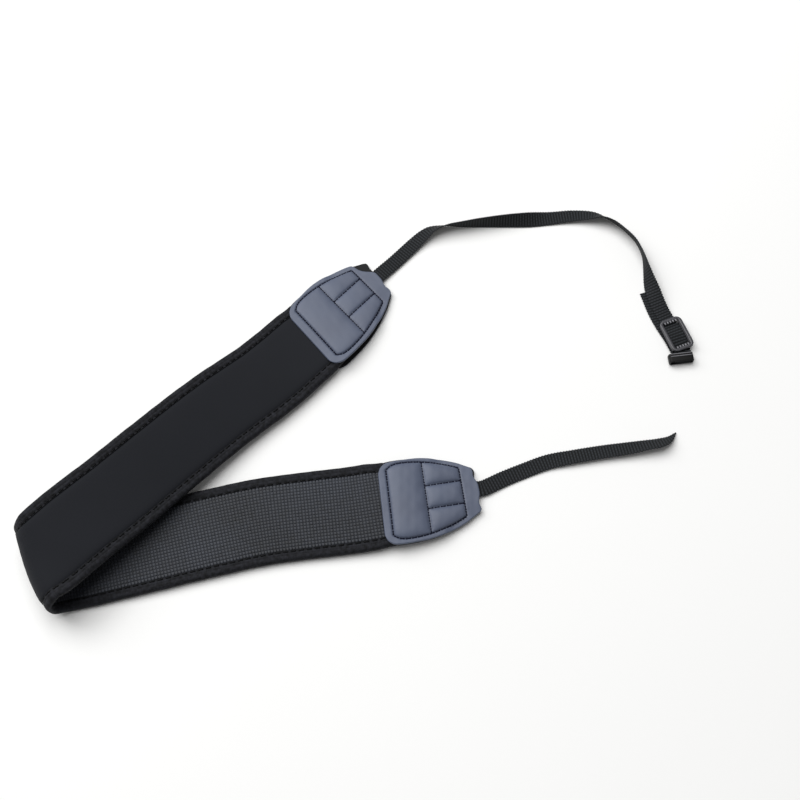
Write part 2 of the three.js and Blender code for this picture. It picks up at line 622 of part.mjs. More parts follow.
const webbingHalf = WEBBING_WIDTH / 2;
const webbingStart = BAND_UNDER_TAB + TAB_GAP;
const fullSection = () => webbingSection(webbingHalf, -webbingHalf);
addPiece('webbing_a', sweptAlongStrap(
  sweepLengths(0, TAB_A_BASE - webbingStart, WEBBING_STEPS_PER_ROW),
  fullSection,
), blackWebbing);

// The free end is cut on a slant, to a point on the far edge.
function slantedSection(along) {
  const left = STRAP_LENGTH - along;
  const share = Math.sin((Math.min(1, left / TIP_CUT) * Math.PI) / 2);
  const width = THREE.MathUtils.lerp(TIP_WIDTH, WEBBING_WIDTH, share);
  return webbingSection(width - webbingHalf, -webbingHalf);
}
addPiece('webbing_b', sweptAlongStrap(
  sweepLengths(TAB_B_BASE + webbingStart, STRAP_LENGTH, WEBBING_STEPS_PER_ROW),
  slantedSection,
), blackWebbing);

const buckle = addPiece('slide_buckle', buckleGeometry(), blackNylon);
buckle.position.set(BUCKLE_CENTRE.x - ORIGIN_MARK.x, BUCKLE_CENTRE.y - ORIGIN_MARK.y, 0);
buckle.rotation.z = THREE.MathUtils.degToRad(BUCKLE_HEADING + 90);

const keeper = addPiece('keeper_loop', keeperGeometry(), blackNylon);
keeper.position.set(KEEPER_CENTRE.x - ORIGIN_MARK.x, KEEPER_CENTRE.y - ORIGIN_MARK.y, 0);
keeper.rotation.z = THREE.MathUtils.degToRad(KEEPER_HEADING + 90);

export default strap;
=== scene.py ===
import math
from functools import partial

import bpy
import numpy as np
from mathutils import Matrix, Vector


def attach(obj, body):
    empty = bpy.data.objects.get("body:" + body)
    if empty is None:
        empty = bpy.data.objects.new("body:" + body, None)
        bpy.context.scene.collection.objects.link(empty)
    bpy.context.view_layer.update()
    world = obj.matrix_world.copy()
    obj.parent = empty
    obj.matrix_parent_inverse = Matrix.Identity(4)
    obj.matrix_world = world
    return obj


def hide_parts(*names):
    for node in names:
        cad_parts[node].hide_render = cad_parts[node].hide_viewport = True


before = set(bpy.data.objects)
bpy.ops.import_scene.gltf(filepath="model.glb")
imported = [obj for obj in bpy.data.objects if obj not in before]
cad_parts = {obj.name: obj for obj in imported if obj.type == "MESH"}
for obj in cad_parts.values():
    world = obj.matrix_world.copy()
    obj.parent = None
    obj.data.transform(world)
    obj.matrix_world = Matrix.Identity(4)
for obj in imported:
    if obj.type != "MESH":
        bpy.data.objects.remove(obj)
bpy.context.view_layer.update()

# A padded neck strap for binoculars, laid on a table and folded over into a V.
# Sizes are in millimetres, as a maker would note them, and MM turns them to metres.
MM = 0.001

# The band, measured out from its middle surface. The outer face is smooth, the inner face grips.
BAND_WIDTH = 55
OUTER_CROWN = 2.75
OUTER_FALL = 0.3
LINING_CROWN = 2.6
LINING_SHOULDER = 2.3
LINING_THICKNESS = 1.0

# Both faces of the band are drawn down beside the tape, the lining less, and go on under it.
SEAM_DIP = 0.75
SEAM_DIP_REACH = 1.5
LINING_DIP_SHARE = 0.5
SEAM_OVERLAP = 0.8
UNDER_TAPE_DROP = 0.6
UNDER_TAPE_FROM = -0.2

# How the band gives at the fold: it swells out at the crest, its edges are drawn in, and on the far edge
# the fold lies FOLD_SKEW nearer to the buckle end. The seam dip loses the share FOLD_FLUSH at the fold,
# and the tape loses the share FOLD_PRESS of its height.
FOLD_SWELL = 1.7
FOLD_CREST = -4
FOLD_HALF_WIDTH = 20
FOLD_SKEW = 9
FOLD_REACH = 9
FOLD_FLUSH = 0.6
FOLD_PRESS = 0.3

# The tape folded round each long edge, with its crease and its stitches at an inset from that edge.
TAPE_WIDTH = 6.5
TAPE_OUTER = 2.6
TAPE_INNER = 2.4
TAPE_WALL = 0.6
TAPE_ROUND = 2.3
TAPE_SQUARENESS = 0.85
TAPE_ROLL = 0.15
TAPE_CREASE = 3.5
TAPE_CREASE_DEPTH = 0.15
TAPE_CREASE_REACH = 0.4
TAPE_STITCH = 5.7
TAPE_PITCH = 4.9
TAPE_STITCH_SHARE = 0.32  # of the pitch, from the middle of a stitch to its end
TAPE_THREAD = 0.36
TAPE_GROOVE = 0.4
TAPE_GROOVE_REACH = 0.55
TAPE_GROOVE_SWING = 0.35
# Painted shade along the stitch line: its strength, how much it swings from stitch to stitch, and its reach.
TAPE_SHADE = 0.75
TAPE_SHADE_SWING = 0.6
TAPE_SHADE_REACH = 0.35

# The grip: rows of small blocks moulded on the lining. Foot, taper and top are half widths along the band,
# and STUD_ACROSS says how many times as wide a stud is across it.
STUD_PITCH = 2.0
STUD_FOOT = 0.8
STUD_TAPER = 0.08
STUD_TOP = 0.55
STUD_ACROSS = 1.15
STUD_HEIGHT = 0.32
STUD_LOWEST = 0.75
STUD_SEED = 5

# The leather shields: their lines are counted from the edge that crosses the band.
SHIELD_LENGTH = 61
BASE_STITCH = 4.8
CROSS_STITCH = 27.4
END_STITCH = 50.5
CROSSWISE_STITCHES = (BASE_STITCH, CROSS_STITCH, END_STITCH)
CHANNEL_HALF_WIDTH = 7.3
BAND_UNDER_SHIELD = 34
DRAWN_IN = 0.8
DRAWN_IN_SPAN = (-8, 3)
LEATHER = 1.2
LEATHER_GAP = 0.3
LEATHER_RIM = 0.7
CUT_EDGE = 0.25  # share of its thickness that leather or webbing has at a cut edge

# Stuffing, seams and wrinkles of the leather.
PUFF = 1.5
PUFF_REACH = 2.4
SEAM_GROOVE = 0.6
SEAM_GROOVE_REACH = 0.6
# Painted shade along the seams: its strength and its reach.
SEAM_SHADE = 0.4
SEAM_SHADE_REACH = 0.4
PUCKER = 0.07
PUCKER_REACH = 1.5
WRINKLE_FREE = 2
SHIELD_PITCH = 3.6
SHIELD_HOLE_GAP = 0.08  # share of the pitch
SHIELD_THREAD = 0.44

# The mouth of a shield, where the webbing comes out. Beyond the band the leather is pinched at its rim
# and drapes over the webbing.
MOUTH_BULGE = 0.9
MOUTH_BULGE_FROM = 2
MOUTH_NOTCH = 0.6
MOUTH_NOTCH_OFFSET = 1
MOUTH_NOTCH_REACH = 2.2
MOUTH_ROUND = 2.4
PINCH_EASE = 8
PINCH_INSIDE = 1
PINCH_OUTSIDE = 1.5
FLAP_EASE = 3
DRAPE_FROM = 5
DRAPE_TO = 8

# A shield's half width and border stitch, and the share of its thickness that the band under it keeps.
# Columns: along, half width, border stitch, squeeze.
SHIELD_ROWS = np.array((
    (0.0, 18.6, 20.6, 1.0),
    (0.5, 21.2, 20.6, 1.0),
    (1.6, 23.6, 20.6, 1.0),
    (3.0, 25.1, 20.6, 0.99),
    (4.8, 26.2, 20.9, 0.97),
    (8.0, 26.8, 23.0, 0.94),
    (12.0, 26.9, 23.9, 0.9),
    (20.0, 26.7, 23.8, 0.77),
    (27.4, 26.1, 22.9, 0.62),
    (35.0, 24.6, 21.2, 0.5),
    (43.0, 22.2, 18.7, 0.28),
    (50.5, 19.2, 15.6, 0.2),
    (56.0, 16.4, 13.0, 0.2),
    (61.0, 14.0, 10.8, 0.2),
))

# Soft unevenness. Columns: height, longest wave, number of waves, seed.
PAD_WAVES = (0.07, 60, 4, 3)
TAPE_WAVES = (0.12, 26, 4, 11)
LEATHER_WAVES = (0.08, 17, 5, 29)
WAVE_SHORTENING = 0.6
TAPE_WAVE_PLACE = 30

# The webbing: cross ribs, broken in columns by the weave, with teeth along its edges.
WEBBING_WIDTH = 10
WEBBING_THICKNESS = 1.1
RIB_PITCH = 1.9
RIB_HEIGHT = 0.24
RIB_COLUMN = 2.0
RIB_BREAK = 0.24
EDGE_TEETH = 0.22
EDGE_TEETH_POWER = 5
EDGE_FULLNESS = 8
TIP_CUT = 16
TIP_WIDTH = 0.7

# The slide buckle and the keeper loop, with their places on the plan.
BUCKLE_CENTRE = (201.1, 47.0)
BUCKLE_HEADING = -68.5
BUCKLE_WIDTH = 15.6
BUCKLE_LENGTH = 23.5
BUCKLE_CORNER = 4.0
BUCKLE_BAR = 2.2
BUCKLE_SIDE_BAR = 2.4
BUCKLE_BOTTOM = 3.65
BUCKLE_TOP = 5.4
MIDDLE_BAR_INSET = 0.5
MIDDLE_BAR_BOTTOM = 2.3
MIDDLE_BAR_TOP = 3.4
SIDE_RAIL_LENGTH = 19.4
SIDE_RAIL_BOTTOM = 2.0
SIDE_RAIL_INSET = 0.4
SIDE_RAIL_THINNER = 0.2
TEETH = 5
TOOTH = (1.1, 1.7, 0.9)
TOOTH_PITCH = 1.9
TOOTH_PROUD = 0.05
KEEPER_CENTRE = (202.7, 30.5)
KEEPER_HEADING = -83
KEEPER_WIDTH = 16
KEEPER_LENGTH = 5.8
KEEPER_HEIGHT = 5.4
KEEPER_WALL = 1.2
KEEPER_SIDE = 1.0
KEEPER_CORNER = 1.6
KEEPER_LINE = (13.8, 0.55, 0.6)
KEEPER_LINE_INSETS = (0.5, 2.1)

# Route of the strap's middle line, from the cut tail to the free tip, on a plan with its mark at ORIGIN_MARK.
# Columns: x, y, z, then side, the plan heading of the near edge, and roll, the lift of that edge, in degrees.
ORIGIN_MARK = (1.0, 2.8)
BUCKLE_END_ROUTE = (
    (185.4, 79.6, 0.6, -161, 360),
    (189.6, 64.7, 0.75, -159, 360),
    (193.4, 55.2, 0.95, -156, 360),
    (198.1, 45.8, 1.05, -156, 360),
    (201.6, 37.2, 1.15, -156, 360),
    (203.0, 33.6, 1.95, -163, 360),
    (203.8, 30.2, 2.0, -174, 360),
    (203.95, 28.4, 2.0, -176, 360),
    (204.0, 27.7, 2.7, -176, 360),
    (203.95, 28.4, 3.4, -176, 360),
    (203.9, 30.4, 3.4, -176, 360),
    (204.0, 33.7, 3.35, -174, 360),
    (204.6, 37.1, 2.45, -163, 360),
    (202.8, 42.3, 3.6, -158.5, 360),
    (201.1, 47.0, 4.2, -158.5, 360),
    (199.2, 51.7, 3.6, -158.5, 360),
    (197.1, 56.7, 2.45, -158.5, 360),
    (194.3, 62.8, 2.25, -160, 358),
    (191.4, 69.8, 2.85, -163, 350),
    (188.6, 78.2, 4.0, -165, 335),
    (186.8, 85.8, 4.4, -167, 307),
    (185.3, 95.4, 5.1, -168, 280),
    (183.6, 106.8, 5.1, -162, 260),
    (179.8, 116.7, 5.05, -148, 254),
    (173.6, 124.6, 5.0, -130, 250),
    (166.6, 131.0, 5.0, -118, 248),
    (159.8, 135.0, 4.6, -104, 237),
    (152.0, 137.2, 3.05, -95, 209),
    (138.6, 137.6, 1.6, -88, 191),
    (122.0, 135.8, 1.05, -84, 176),
    (105.4, 133.2, 3.7, -83, 140),
    (88.0, 131.4, 4.85, -84, 115),
    (73.0, 130.0, 5.1, -85, 96),
    (61.5, 128.9, 5.1, -84, 80),
    (52.9, 128.4, 4.8, -78, 64),
    (43.0, 126.0, 4.0, -58, 40),
    (37.4, 122.3, 2.75, -48, 22),
    (30.5, 115.6, 1.75, -44, 8),
    (18.2, 102.6, 1.5, -44, 0),
)
BAND_ROUTE = (
    (5.7, 90.1, 2.3, -44, 0),
    (-14.4, 67.9, 3.5, -44, 0),
    (-34.9, 45.3, 4.55, -45, 0),
    (-62.3, 17.4, 6.0, -46, -3),
    (-93.3, -9.6, 9.5, -47, -8),
    (-121.8, -37.9, 14.3, -47, -10),
    (-149.4, -66.5, 19.5, -47, -10),
    (-170.0, -86.9, 23.5, -48, -9),
    (-184.3, -101.8, 25.0, -54, -6),
    (-192.0, -108.2, 21.6, -60, 2),
    (-194.9, -111.6, 13.7, -66, 8),
    (-191.3, -111.0, 6.0, -70, 6),
    (-182.5, -107.5, 3.2, -75, 1),
    (-168.0, -104.0, 2.82, -76, 0),
    (-154.0, -100.5, 2.76, -76, 0),
    (-124.0, -93.0, 2.76, -76, 0),
    (-93.7, -85.4, 2.76, -76.5, 0),
    (-63.0, -78.5, 2.76, -79, 0),
    (-31.5, -74.1, 2.87, -82, 0),
    (-8.0, -71.3, 3.5, -82, 0),
    (10.3, -68.5, 4.5, -81, 0),
    (40.0, -63.4, 3.4, -80.5, 0),
    (69.5, -57.7, 2.25, -79.5, 0),
)
FREE_END_ROUTE = (
    (72.6, -57.0, 1.95, -77, 0),
    (77.5, -54.7, 1.5, -66, 0),
    (85.0, -51.0, 1.1, -65, 0),
    (98.0, -45.5, 0.75, -67, 2),
    (113.5, -39.7, 1.1, -71, 6),
    (128.5, -36.7, 1.75, -79, 13),
    (148.5, -33.3, 2.1, -81, 17),
    (165.0, -31.0, 2.55, -81, 23),
    (176.0, -29.2, 3.25, -80, 34),
    (184.0, -28.0, 3.5, -76, 37),
    (191.3, -26.4, 3.5, -70, 37),
    (196.9, -23.6, 3.5, -62, 37),
)
STRAP_ROUTE = np.array(BUCKLE_END_ROUTE + BAND_ROUTE + FREE_END_ROUTE)
STRAP_ROUTE[:, :2] -= ORIGIN_MARK
FOLD_ROW = 10  # of the band's route
STEPS_PER_ROW = 200
CENTRIPETAL = 0.5
EVEN = 0


# The strap's middle line, and places laid flat on it.

def eased(value, start, stop):
    """0 at start and 1 at stop, with a soft beginning and end."""
    share = np.clip((value - start) / (stop - start), 0, 1)
    return share * share * (3 - 2 * share)


def hump(distance, reach):
    return np.exp(-(distance / reach) ** 2)


def swing(value, pitch):
    """1 at each whole pitch and -1 halfway between."""
    return np.cos(2 * math.pi * value / pitch)


def unit(vectors):
    return vectors / np.linalg.norm(vectors, axis=-1, keepdims=True)


def run_lengths(points):
    """How far along a line of points each of them lies."""
    steps = np.linalg.norm(np.diff(points, axis=0), axis=1)
    return np.concatenate([[0.0], np.cumsum(steps)])


def smooth_line(rows, spacing):
    """A smooth line through the rows, in STEPS_PER_ROW places between each two of them. It is paced by
    the gaps between the rows to the power of the spacing."""
    ends = np.vstack([2 * rows[0] - rows[1], rows, 2 * rows[-1] - rows[-2]])
    gap = np.linalg.norm(np.diff(ends, axis=0), axis=1)[:, None] ** spacing
    before, start, stop, after = ends[:-3], ends[1:-2], ends[2:-1], ends[3:]
    gap_before, gap_here, gap_after = gap[:-2], gap[1:-1], gap[2:]
    here = (stop - start) / gap_here
    leave = (start - before) / gap_before - (stop - before) / (gap_before + gap_here) + here
    reach = here - (after - start) / (gap_here + gap_after) + (after - stop) / gap_after
    leave, reach = leave * gap_here, reach * gap_here
    square = 3 * (stop - start) - 2 * leave - reach
    cube = 2 * (start - stop) + leave + reach
    share = np.linspace(0, 1, STEPS_PER_ROW, endpoint=False)[None, :, None]
    start, leave, square, cube = (part[:, None, :] for part in (start, leave, square, cube))
    line = start + share * (leave + share * (square + share * cube))
    return np.vstack([line.reshape(-1, rows.shape[1]), rows[-1]])


MIDDLE_LINE = smooth_line(STRAP_ROUTE[:, :3], CENTRIPETAL)
LINE_LENGTHS = run_lengths(MIDDLE_LINE)
STRAP_LENGTH = LINE_LENGTHS[-1]
side, roll = np.radians(smooth_line(STRAP_ROUTE[:, 3:], EVEN)).T
tangents = unit(np.gradient(MIDDLE_LINE, axis=0))
widths = np.stack([np.cos(side) * np.cos(roll), np.sin(side) * np.cos(roll), np.sin(roll)], axis=1)
widths -= tangents * np.sum(widths * tangents, axis=1, keepdims=True)
WIDTH_LINE = unit(widths)
OUTWARD_LINE = np.cross(tangents, WIDTH_LINE)


def along_line(table, along):
    return np.stack([np.interp(along, LINE_LENGTHS, column) for column in table.T], axis=-1)


def length_at_row(row):
    return LINE_LENGTHS[row * STEPS_PER_ROW]


SHIELD_A_BASE = length_at_row(len(BUCKLE_END_ROUTE)) + SHIELD_LENGTH
SHIELD_B_BASE = length_at_row(len(BUCKLE_END_ROUTE) + len(BAND_ROUTE) - 1) - SHIELD_LENGTH
FOLD_LENGTH = length_at_row(len(BUCKLE_END_ROUTE) + FOLD_ROW)
SHIELD_TABLE = smooth_line(SHIELD_ROWS, CENTRIPETAL)


def at_fold(along, across):
    """1 at the fold, which runs on a skew, and 0 away from it."""
    from_near_edge = (BAND_WIDTH / 2 - across) / BAND_WIDTH
    return hump(along - FOLD_LENGTH + FOLD_SKEW * from_near_edge ** 2, FOLD_REACH)


def fold_lift(along, across):
    """How far the band swells out at the fold; less than nothing where its edges are drawn in."""
    return FOLD_SWELL * (1 - ((across - FOLD_CREST) / FOLD_HALF_WIDTH) ** 2) * at_fold(along, across)


def on_strap(along, across, out):
    """Places in metres from flat ones: along the strap, across its width, out from its middle surface."""
    along, across, out = np.broadcast_arrays(along, across, out)
    lifted = out + fold_lift(along, across)
    place = along_line(MIDDLE_LINE, along)
    place = place + across[..., None] * along_line(WIDTH_LINE, along)
    return MM * (place + lifted[..., None] * along_line(OUTWARD_LINE, along))


def shield_row(along):
    """Half width, border stitch and squeeze of a shield at a distance from its band edge."""
    return [np.interp(along, SHIELD_TABLE[:, 0], column) for column in SHIELD_TABLE.T[1:]]


def band_outline(along):
    """Half width and squeeze of the band: full between the shields, and their outline under them."""
    under = np.maximum(SHIELD_A_BASE - along, along - SHIELD_B_BASE)
    half, _, squeeze = shield_row(np.maximum(under, BASE_STITCH))
    drawn_in = BAND_WIDTH / 2 - DRAWN_IN * eased(under, *DRAWN_IN_SPAN)
    return np.where(under < BASE_STITCH, drawn_in, half), np.where(under < 0, 1.0, squeeze)


def waves(along, across, kind):
    """Soft uneven waves of one of the kinds above, from a few sines with drawn headings."""
    height, longest, count, seed = kind
    draw = np.random.default_rng(seed)
    total = 0.0
    for number in range(count):
        heading = draw.uniform(0, 2 * math.pi)
        length = longest / (1 + WAVE_SHORTENING * number)
        phase = draw.uniform(0, 2 * math.pi)
        run = along * math.cos(heading) + across * math.sin(heading)
        total = total + np.sin(2 * math.pi * run / length + phase) / count
    return height * total


# Meshes.

def turns(count):
    """Angles of a count of places round a circle."""
    return np.arange(count) * 2 * math.pi / count


def quads(*corners):
    """Faces from four grids, one for each of their corners."""
    return np.stack(corners, axis=-1).reshape(-1, 4)


def layer_faces(rows, columns):
    """Faces of a closed layer: its face, its back, and the rim between them."""
    place = np.arange(rows * columns).reshape(rows, columns)
    face = quads(place[:-1, :-1], place[1:, :-1], place[1:, 1:], place[:-1, 1:])
    rim = np.concatenate([place[0, :-1], place[:-1, -1], place[-1, :0:-1], place[:0:-1, 0]])
    onward = np.roll(rim, -1)
    drop = rows * columns
    return [face, face[:, ::-1] + drop, quads(rim, onward, onward + drop, rim + drop)]


def tube_faces(rings, around):
    """Faces of the wall from each ring of points to the next."""
    place = np.arange(rings * around).reshape(rings, around)
    onward = np.roll(place, -1, axis=1)
    return quads(place[:-1], onward[:-1], onward[1:], place[1:])


def repeated(faces, count, points_each):
    """The faces of one small form, for a count of them."""
    return (faces[None] + np.arange(count)[:, None, None] * points_each).reshape(-1, 4)


def add_object(name, data):
    made = bpy.data.objects.new(name, data)
    bpy.context.scene.collection.objects.link(made)
    return made


def new_piece(name, points, faces, finishes, nodes=(), finish_of_face=None, flat=None, tone=None):
    """A piece of the strap that rides on it, in place of the CAD nodes that it stands for."""
    points = points.reshape(-1, 3)
    mesh = bpy.data.meshes.new(name)
    mesh.from_pydata(points.tolist(), [], faces.tolist())
    mesh.shade_smooth()
    corners = points[faces]
    spread = np.cross(corners[:, 2] - corners[:, 0], corners[:, 3] - corners[:, 1])
    if np.sum(corners.mean(axis=1) * spread) < 0:
        mesh.flip_normals()
    for finish in finishes:
        mesh.materials.append(finish)
    if finish_of_face is not None:
        mesh.polygons.foreach_set("material_index", finish_of_face.astype(np.int32))
    attributes = (("flat_place", "FLOAT_VECTOR", "vector", flat), ("tone", "FLOAT", "value", tone))
    for label, kind, field, values in attributes:
        if values is not None:
            attribute = mesh.attributes.new(label, kind, "POINT")
            attribute.data.foreach_set(field, values.astype(np.float32).ravel())
    piece = add_object(name, mesh)
    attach(piece, "root")
    if nodes:
        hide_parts(*nodes)
    return piece


def layer_piece(name, along, face, back, finishes, nodes, place=on_strap, tone=None, back_finish=0):
    """A closed layer; face and back are pairs of grids, across the strap and out from it."""
    along = np.broadcast_to(along, face[0].shape)
    points = np.concatenate([place(along, *face), place(along, *back)])
    flat = MM * np.concatenate([
        np.stack(np.broadcast_arrays(along, *side_of_layer), axis=-1) for side_of_layer in (face, back)
    ])
    groups = layer_faces(*along.shape)
    finish_of_face = np.repeat((0, back_finish, back_finish), [len(group) for group in groups])
    if tone is not None:
        tone = np.concatenate([tone, tone])
    return new_piece(name, points, np.concatenate(groups), finishes, nodes, finish_of_face, flat, tone)


# One stitch: places along it, each with its lift and half width for a thread of radius 1, and the two faces
# that close an end.
THREAD_SHARES = np.array((0.0, 0.12, 0.5, 0.88, 1.0))
THREAD_LIFTS = np.array((-0.3, 0.3, 0.3, 0.3, -0.3))
THREAD_SWELLS = np.array((1.4, 1.6, 0.8, 1.6, 1.4))
THREAD_SIDES = 6
THREAD_END = np.array(((3, 2, 1, 0), (5, 4, 3, 0)))


def thread_piece(name, starts, ends, ups, radius, finish):
    """Stitches: each one a short thread that dives into its holes, laid from starts to ends."""
    starts, ends, ups = (np.concatenate(rows) for rows in (starts, ends, ups))
    run = ends - starts
    sides = unit(np.cross(run, ups))
    turn = turns(THREAD_SIDES)
    lift = ups[:, None] * (radius * THREAD_LIFTS)[None, :, None]
    middle = starts[:, None] + run[:, None] * THREAD_SHARES[None, :, None] + lift
    ring = sides[:, None] * np.cos(turn)[None, :, None] + ups[:, None] * np.sin(turn)[None, :, None]
    points = middle[:, :, None] + ring[:, None] * (radius * THREAD_SWELLS)[None, :, None, None]
    rings = len(THREAD_SHARES)
    last_end = THREAD_END[:, ::-1] + (rings - 1) * THREAD_SIDES
    one = np.concatenate([tube_faces(rings, THREAD_SIDES), THREAD_END, last_end])
    new_piece(name, points, repeated(one, len(starts), rings * THREAD_SIDES), [finish])


def rounded_loop(width, height, corner, steps=8):
    """A rounded rectangle, counter-clockwise."""
    turn = np.linspace(0, math.pi / 2, steps)
    corners = ((1, 1, 0), (-1, 1, 1), (-1, -1, 2), (1, -1, 3))
    return np.concatenate([
        np.stack([
            end_x * (width / 2 - corner) + corner * np.cos(turn + quarter * math.pi / 2),
            end_y * (height / 2 - corner) + corner * np.sin(turn + quarter * math.pi / 2),
        ], axis=-1)
        for end_x, end_y, quarter in corners
    ])


def squared(value, squareness):
    """A sine or cosine pressed towards 1 and -1, so that a round grows square as squareness nears 0."""
    return np.sign(value) * np.abs(value) ** squareness


def moulded_ring(outer, window, low, high, squareness, sides=20):
    """A ring between two loops with as many points, its section a soft-cornered rectangle."""
    turn = turns(sides)
    reach = squared(np.cos(turn), squareness)
    rise = squared(np.sin(turn), squareness)
    middle = (outer + window) / 2
    plan = middle[:, None] + (outer - window)[:, None] / 2 * reach[None, :, None]
    height = np.broadcast_to((low + high) / 2 + (high - low) / 2 * rise, plan.shape[:2])
    points = np.concatenate([plan, height[..., None]], axis=-1)
    place = np.arange(len(outer) * sides).reshape(len(outer), sides)
    onward = np.roll(place, -1, axis=0)
    faces = quads(place, onward, np.roll(onward, -1, axis=1), np.roll(place, -1, axis=1))
    return points.reshape(-1, 3), faces


CAP_TILT = math.radians(87)


def rounded_block(centre, size, squareness=0.22, around=24, upward=12):
    """A block with soft edges, closed by a flat cap on top and below."""
    turn = turns(around)
    tilt = np.linspace(-CAP_TILT, CAP_TILT, upward + 1)[:, None]
    level = squared(np.cos(tilt), squareness)
    points = np.stack(np.broadcast_arrays(
        level * squared(np.cos(turn), squareness), level * squared(np.sin(turn), squareness),
        squared(np.sin(tilt), squareness),
    ), axis=-1)
    points = points * np.array(size) / 2 + np.array(centre)
    strip = np.arange(around // 2 - 1)
    cap = quads(strip, strip + 1, around - 2 - strip, around - 1 - strip)
    faces = np.concatenate([tube_faces(upward + 1, around), cap[:, ::-1], cap + upward * around])
    return points.reshape(-1, 3), faces


# Materials.

WAVE_PERIOD = 0.314159  # length of one band of a wave texture at scale 1
MIX_A, MIX_B, MIX_COLOUR = 6, 7, 2  # sockets of a colour mix


def linear(hex_colour):
    """Linear colour from an sRGB hex value."""
    channels = [int(hex_colour[place:place + 2], 16) / 255 for place in (1, 3, 5)]
    return [c / 12.92 if c <= 0.04045 else ((c + 0.055) / 1.055) ** 2.4 for c in channels] + [1.0]


def per_metre(size):
    """Texture scale at which one cell or patch of a pattern has that size in millimetres."""
    return 1 / (MM * size)


def add_node(tree, kind, inputs=None, **settings):
    """A node with its settings; an input is a value, or the socket that feeds it."""
    node = tree.nodes.new(kind)
    for name, value in settings.items():
        setattr(node, name, value)
    for name, value in (inputs or {}).items():
        if isinstance(value, bpy.types.NodeSocket):
            tree.links.new(value, node.inputs[name])
        else:
            node.inputs[name].default_value = value
    return node


def new_material(name, flat=True):
    """A bare material, what adds its nodes, and the place that its patterns follow, flat or in space."""
    material = bpy.data.materials.new(name)
    material.use_nodes = True
    material.node_tree.nodes.clear()
    add = partial(add_node, material.node_tree)
    if flat:
        place = add("ShaderNodeAttribute", attribute_name="flat_place").outputs["Vector"]
    else:
        place = add("ShaderNodeTexCoord").outputs["Object"]
    return material, add, place


def surfaced(material, first_tone, tones, look, relief=None):
    """A material with its surface. Each of the tones is a socket, for how much of it shows over the ones
    before, and a colour. Relief is a socket for the height, a strength and a depth in millimetres."""
    add = partial(add_node, material.node_tree)
    colour = linear(first_tone)
    for shows, tone in tones:
        mixed = add("ShaderNodeMix", {0: shows, MIX_A: colour, MIX_B: linear(tone)}, data_type="RGBA")
        colour = mixed.outputs[MIX_COLOUR]
    inputs = {"Base Color": colour, **look}
    if relief:
        height, strength, depth = relief
        bump = add("ShaderNodeBump", {"Height": height, "Strength": strength, "Distance": depth * MM})
        inputs["Normal"] = bump.outputs["Normal"]
    shader = add("ShaderNodeBsdfPrincipled", inputs)
    add("ShaderNodeOutputMaterial", {"Surface": shader.outputs["BSDF"]})
    return material


def laminated_jersey():
    """Polyester jersey laminated on neoprene: matt bluish black, a fine knit, faint paler patches."""
    material, add, place = new_material("laminated_polyester_jersey")
    patches = add("ShaderNodeTexNoise", {"Vector": place, "Scale": per_metre(70), "Detail": 3.0})
    # A knit of about 0.4 mm is drawn at 0.9 mm, so that it shows.
    knit = add("ShaderNodeTexVoronoi", {"Vector": place, "Scale": per_metre(0.9)})
    return surfaced(
        material, "#111318", [(patches.outputs["Fac"], "#1c1e24")], {
            "Roughness": 0.8, "IOR": 1.5, "Specular IOR Level": 0.22,
            "Sheen Weight": 0.03, "Sheen Roughness": 0.5,
        }, relief=(knit.outputs["Distance"], 0.25, 0.08),
    )


def grip_rubber(name, dark, pale, roughness):
    """Moulded rubbery grip: soft dark grey, satin, each stud a little different from the next."""
    material, add, place = new_material(name)
    patches = add("ShaderNodeTexNoise", {"Vector": place, "Scale": per_metre(40), "Detail": 3.0})
    each_stud = add("ShaderNodeTexNoise", {"Vector": place, "Scale": per_metre(2.5)})
    both = add("ShaderNodeMath", {0: patches.outputs["Fac"], 1: each_stud.outputs["Fac"]}, operation="ADD")
    worn = add("ShaderNodeMapRange", {"Value": both.outputs["Value"], "From Min": 0.7, "From Max": 1.3})
    skin = add("ShaderNodeTexNoise", {"Vector": place, "Scale": per_metre(0.5)})
    return surfaced(
        material, dark, [(worn.outputs["Result"], pale)], {"Roughness": roughness, "IOR": 1.5},
        relief=(skin.outputs["Fac"], 0.3, 0.05),
    )


def binding_tape():
    """Woven polyester tape: black with a fine cross rib, a dull sheen, uneven paler threads and painted shade
    along its stitch line.
    """
    material, add, place = new_material("woven_polyester_tape")
    painted_stitch_shade = add("ShaderNodeAttribute", attribute_name="tone").outputs["Fac"]
    threads = add("ShaderNodeTexNoise", {"Vector": place, "Scale": per_metre(2.2), "Detail": 6.0})
    worn = add("ShaderNodeMapRange", {"Value": threads.outputs["Fac"], "From Min": 0.35, "From Max": 0.7})
    # Ribs of about 0.5 mm are drawn at 1.1 mm, so that they show.
    ribs = add("ShaderNodeTexWave", {
        "Vector": place, "Scale": WAVE_PERIOD * per_metre(1.1), "Distortion": 1.5, "Detail": 2.0,
    }, bands_direction="X")
    return surfaced(
        material, "#0b0c0f", [(worn.outputs["Result"], "#24252b"), (painted_stitch_shade, "#020203")], {
            "Roughness": 0.75, "IOR": 1.5, "Specular IOR Level": 0.2,
            "Sheen Weight": 0.04, "Sheen Roughness": 0.4,
        }, relief=(ribs.outputs["Fac"], 0.5, 0.1),
    )


def coated_leather():
    """Coated leather: smooth blue grey, satin, a fine embossed grain, with painted shade along the pulled-in
    seams.
    """
    material, add, place = new_material("polyurethane_coated_leather")
    seam = add("ShaderNodeAttribute", attribute_name="tone").outputs["Fac"]
    patches = add("ShaderNodeTexNoise", {"Vector": place, "Scale": per_metre(22), "Detail": 3.0})
    grain = add("ShaderNodeTexVoronoi", {"Vector": place, "Scale": per_metre(0.9)}, feature="SMOOTH_F1")
    return surfaced(
        material, "#4d5365", [(patches.outputs["Fac"], "#586175"), (seam, "#262a38")],
        {"Roughness": 0.5, "IOR": 1.5}, relief=(grain.outputs["Distance"], 0.2, 0.1),
    )


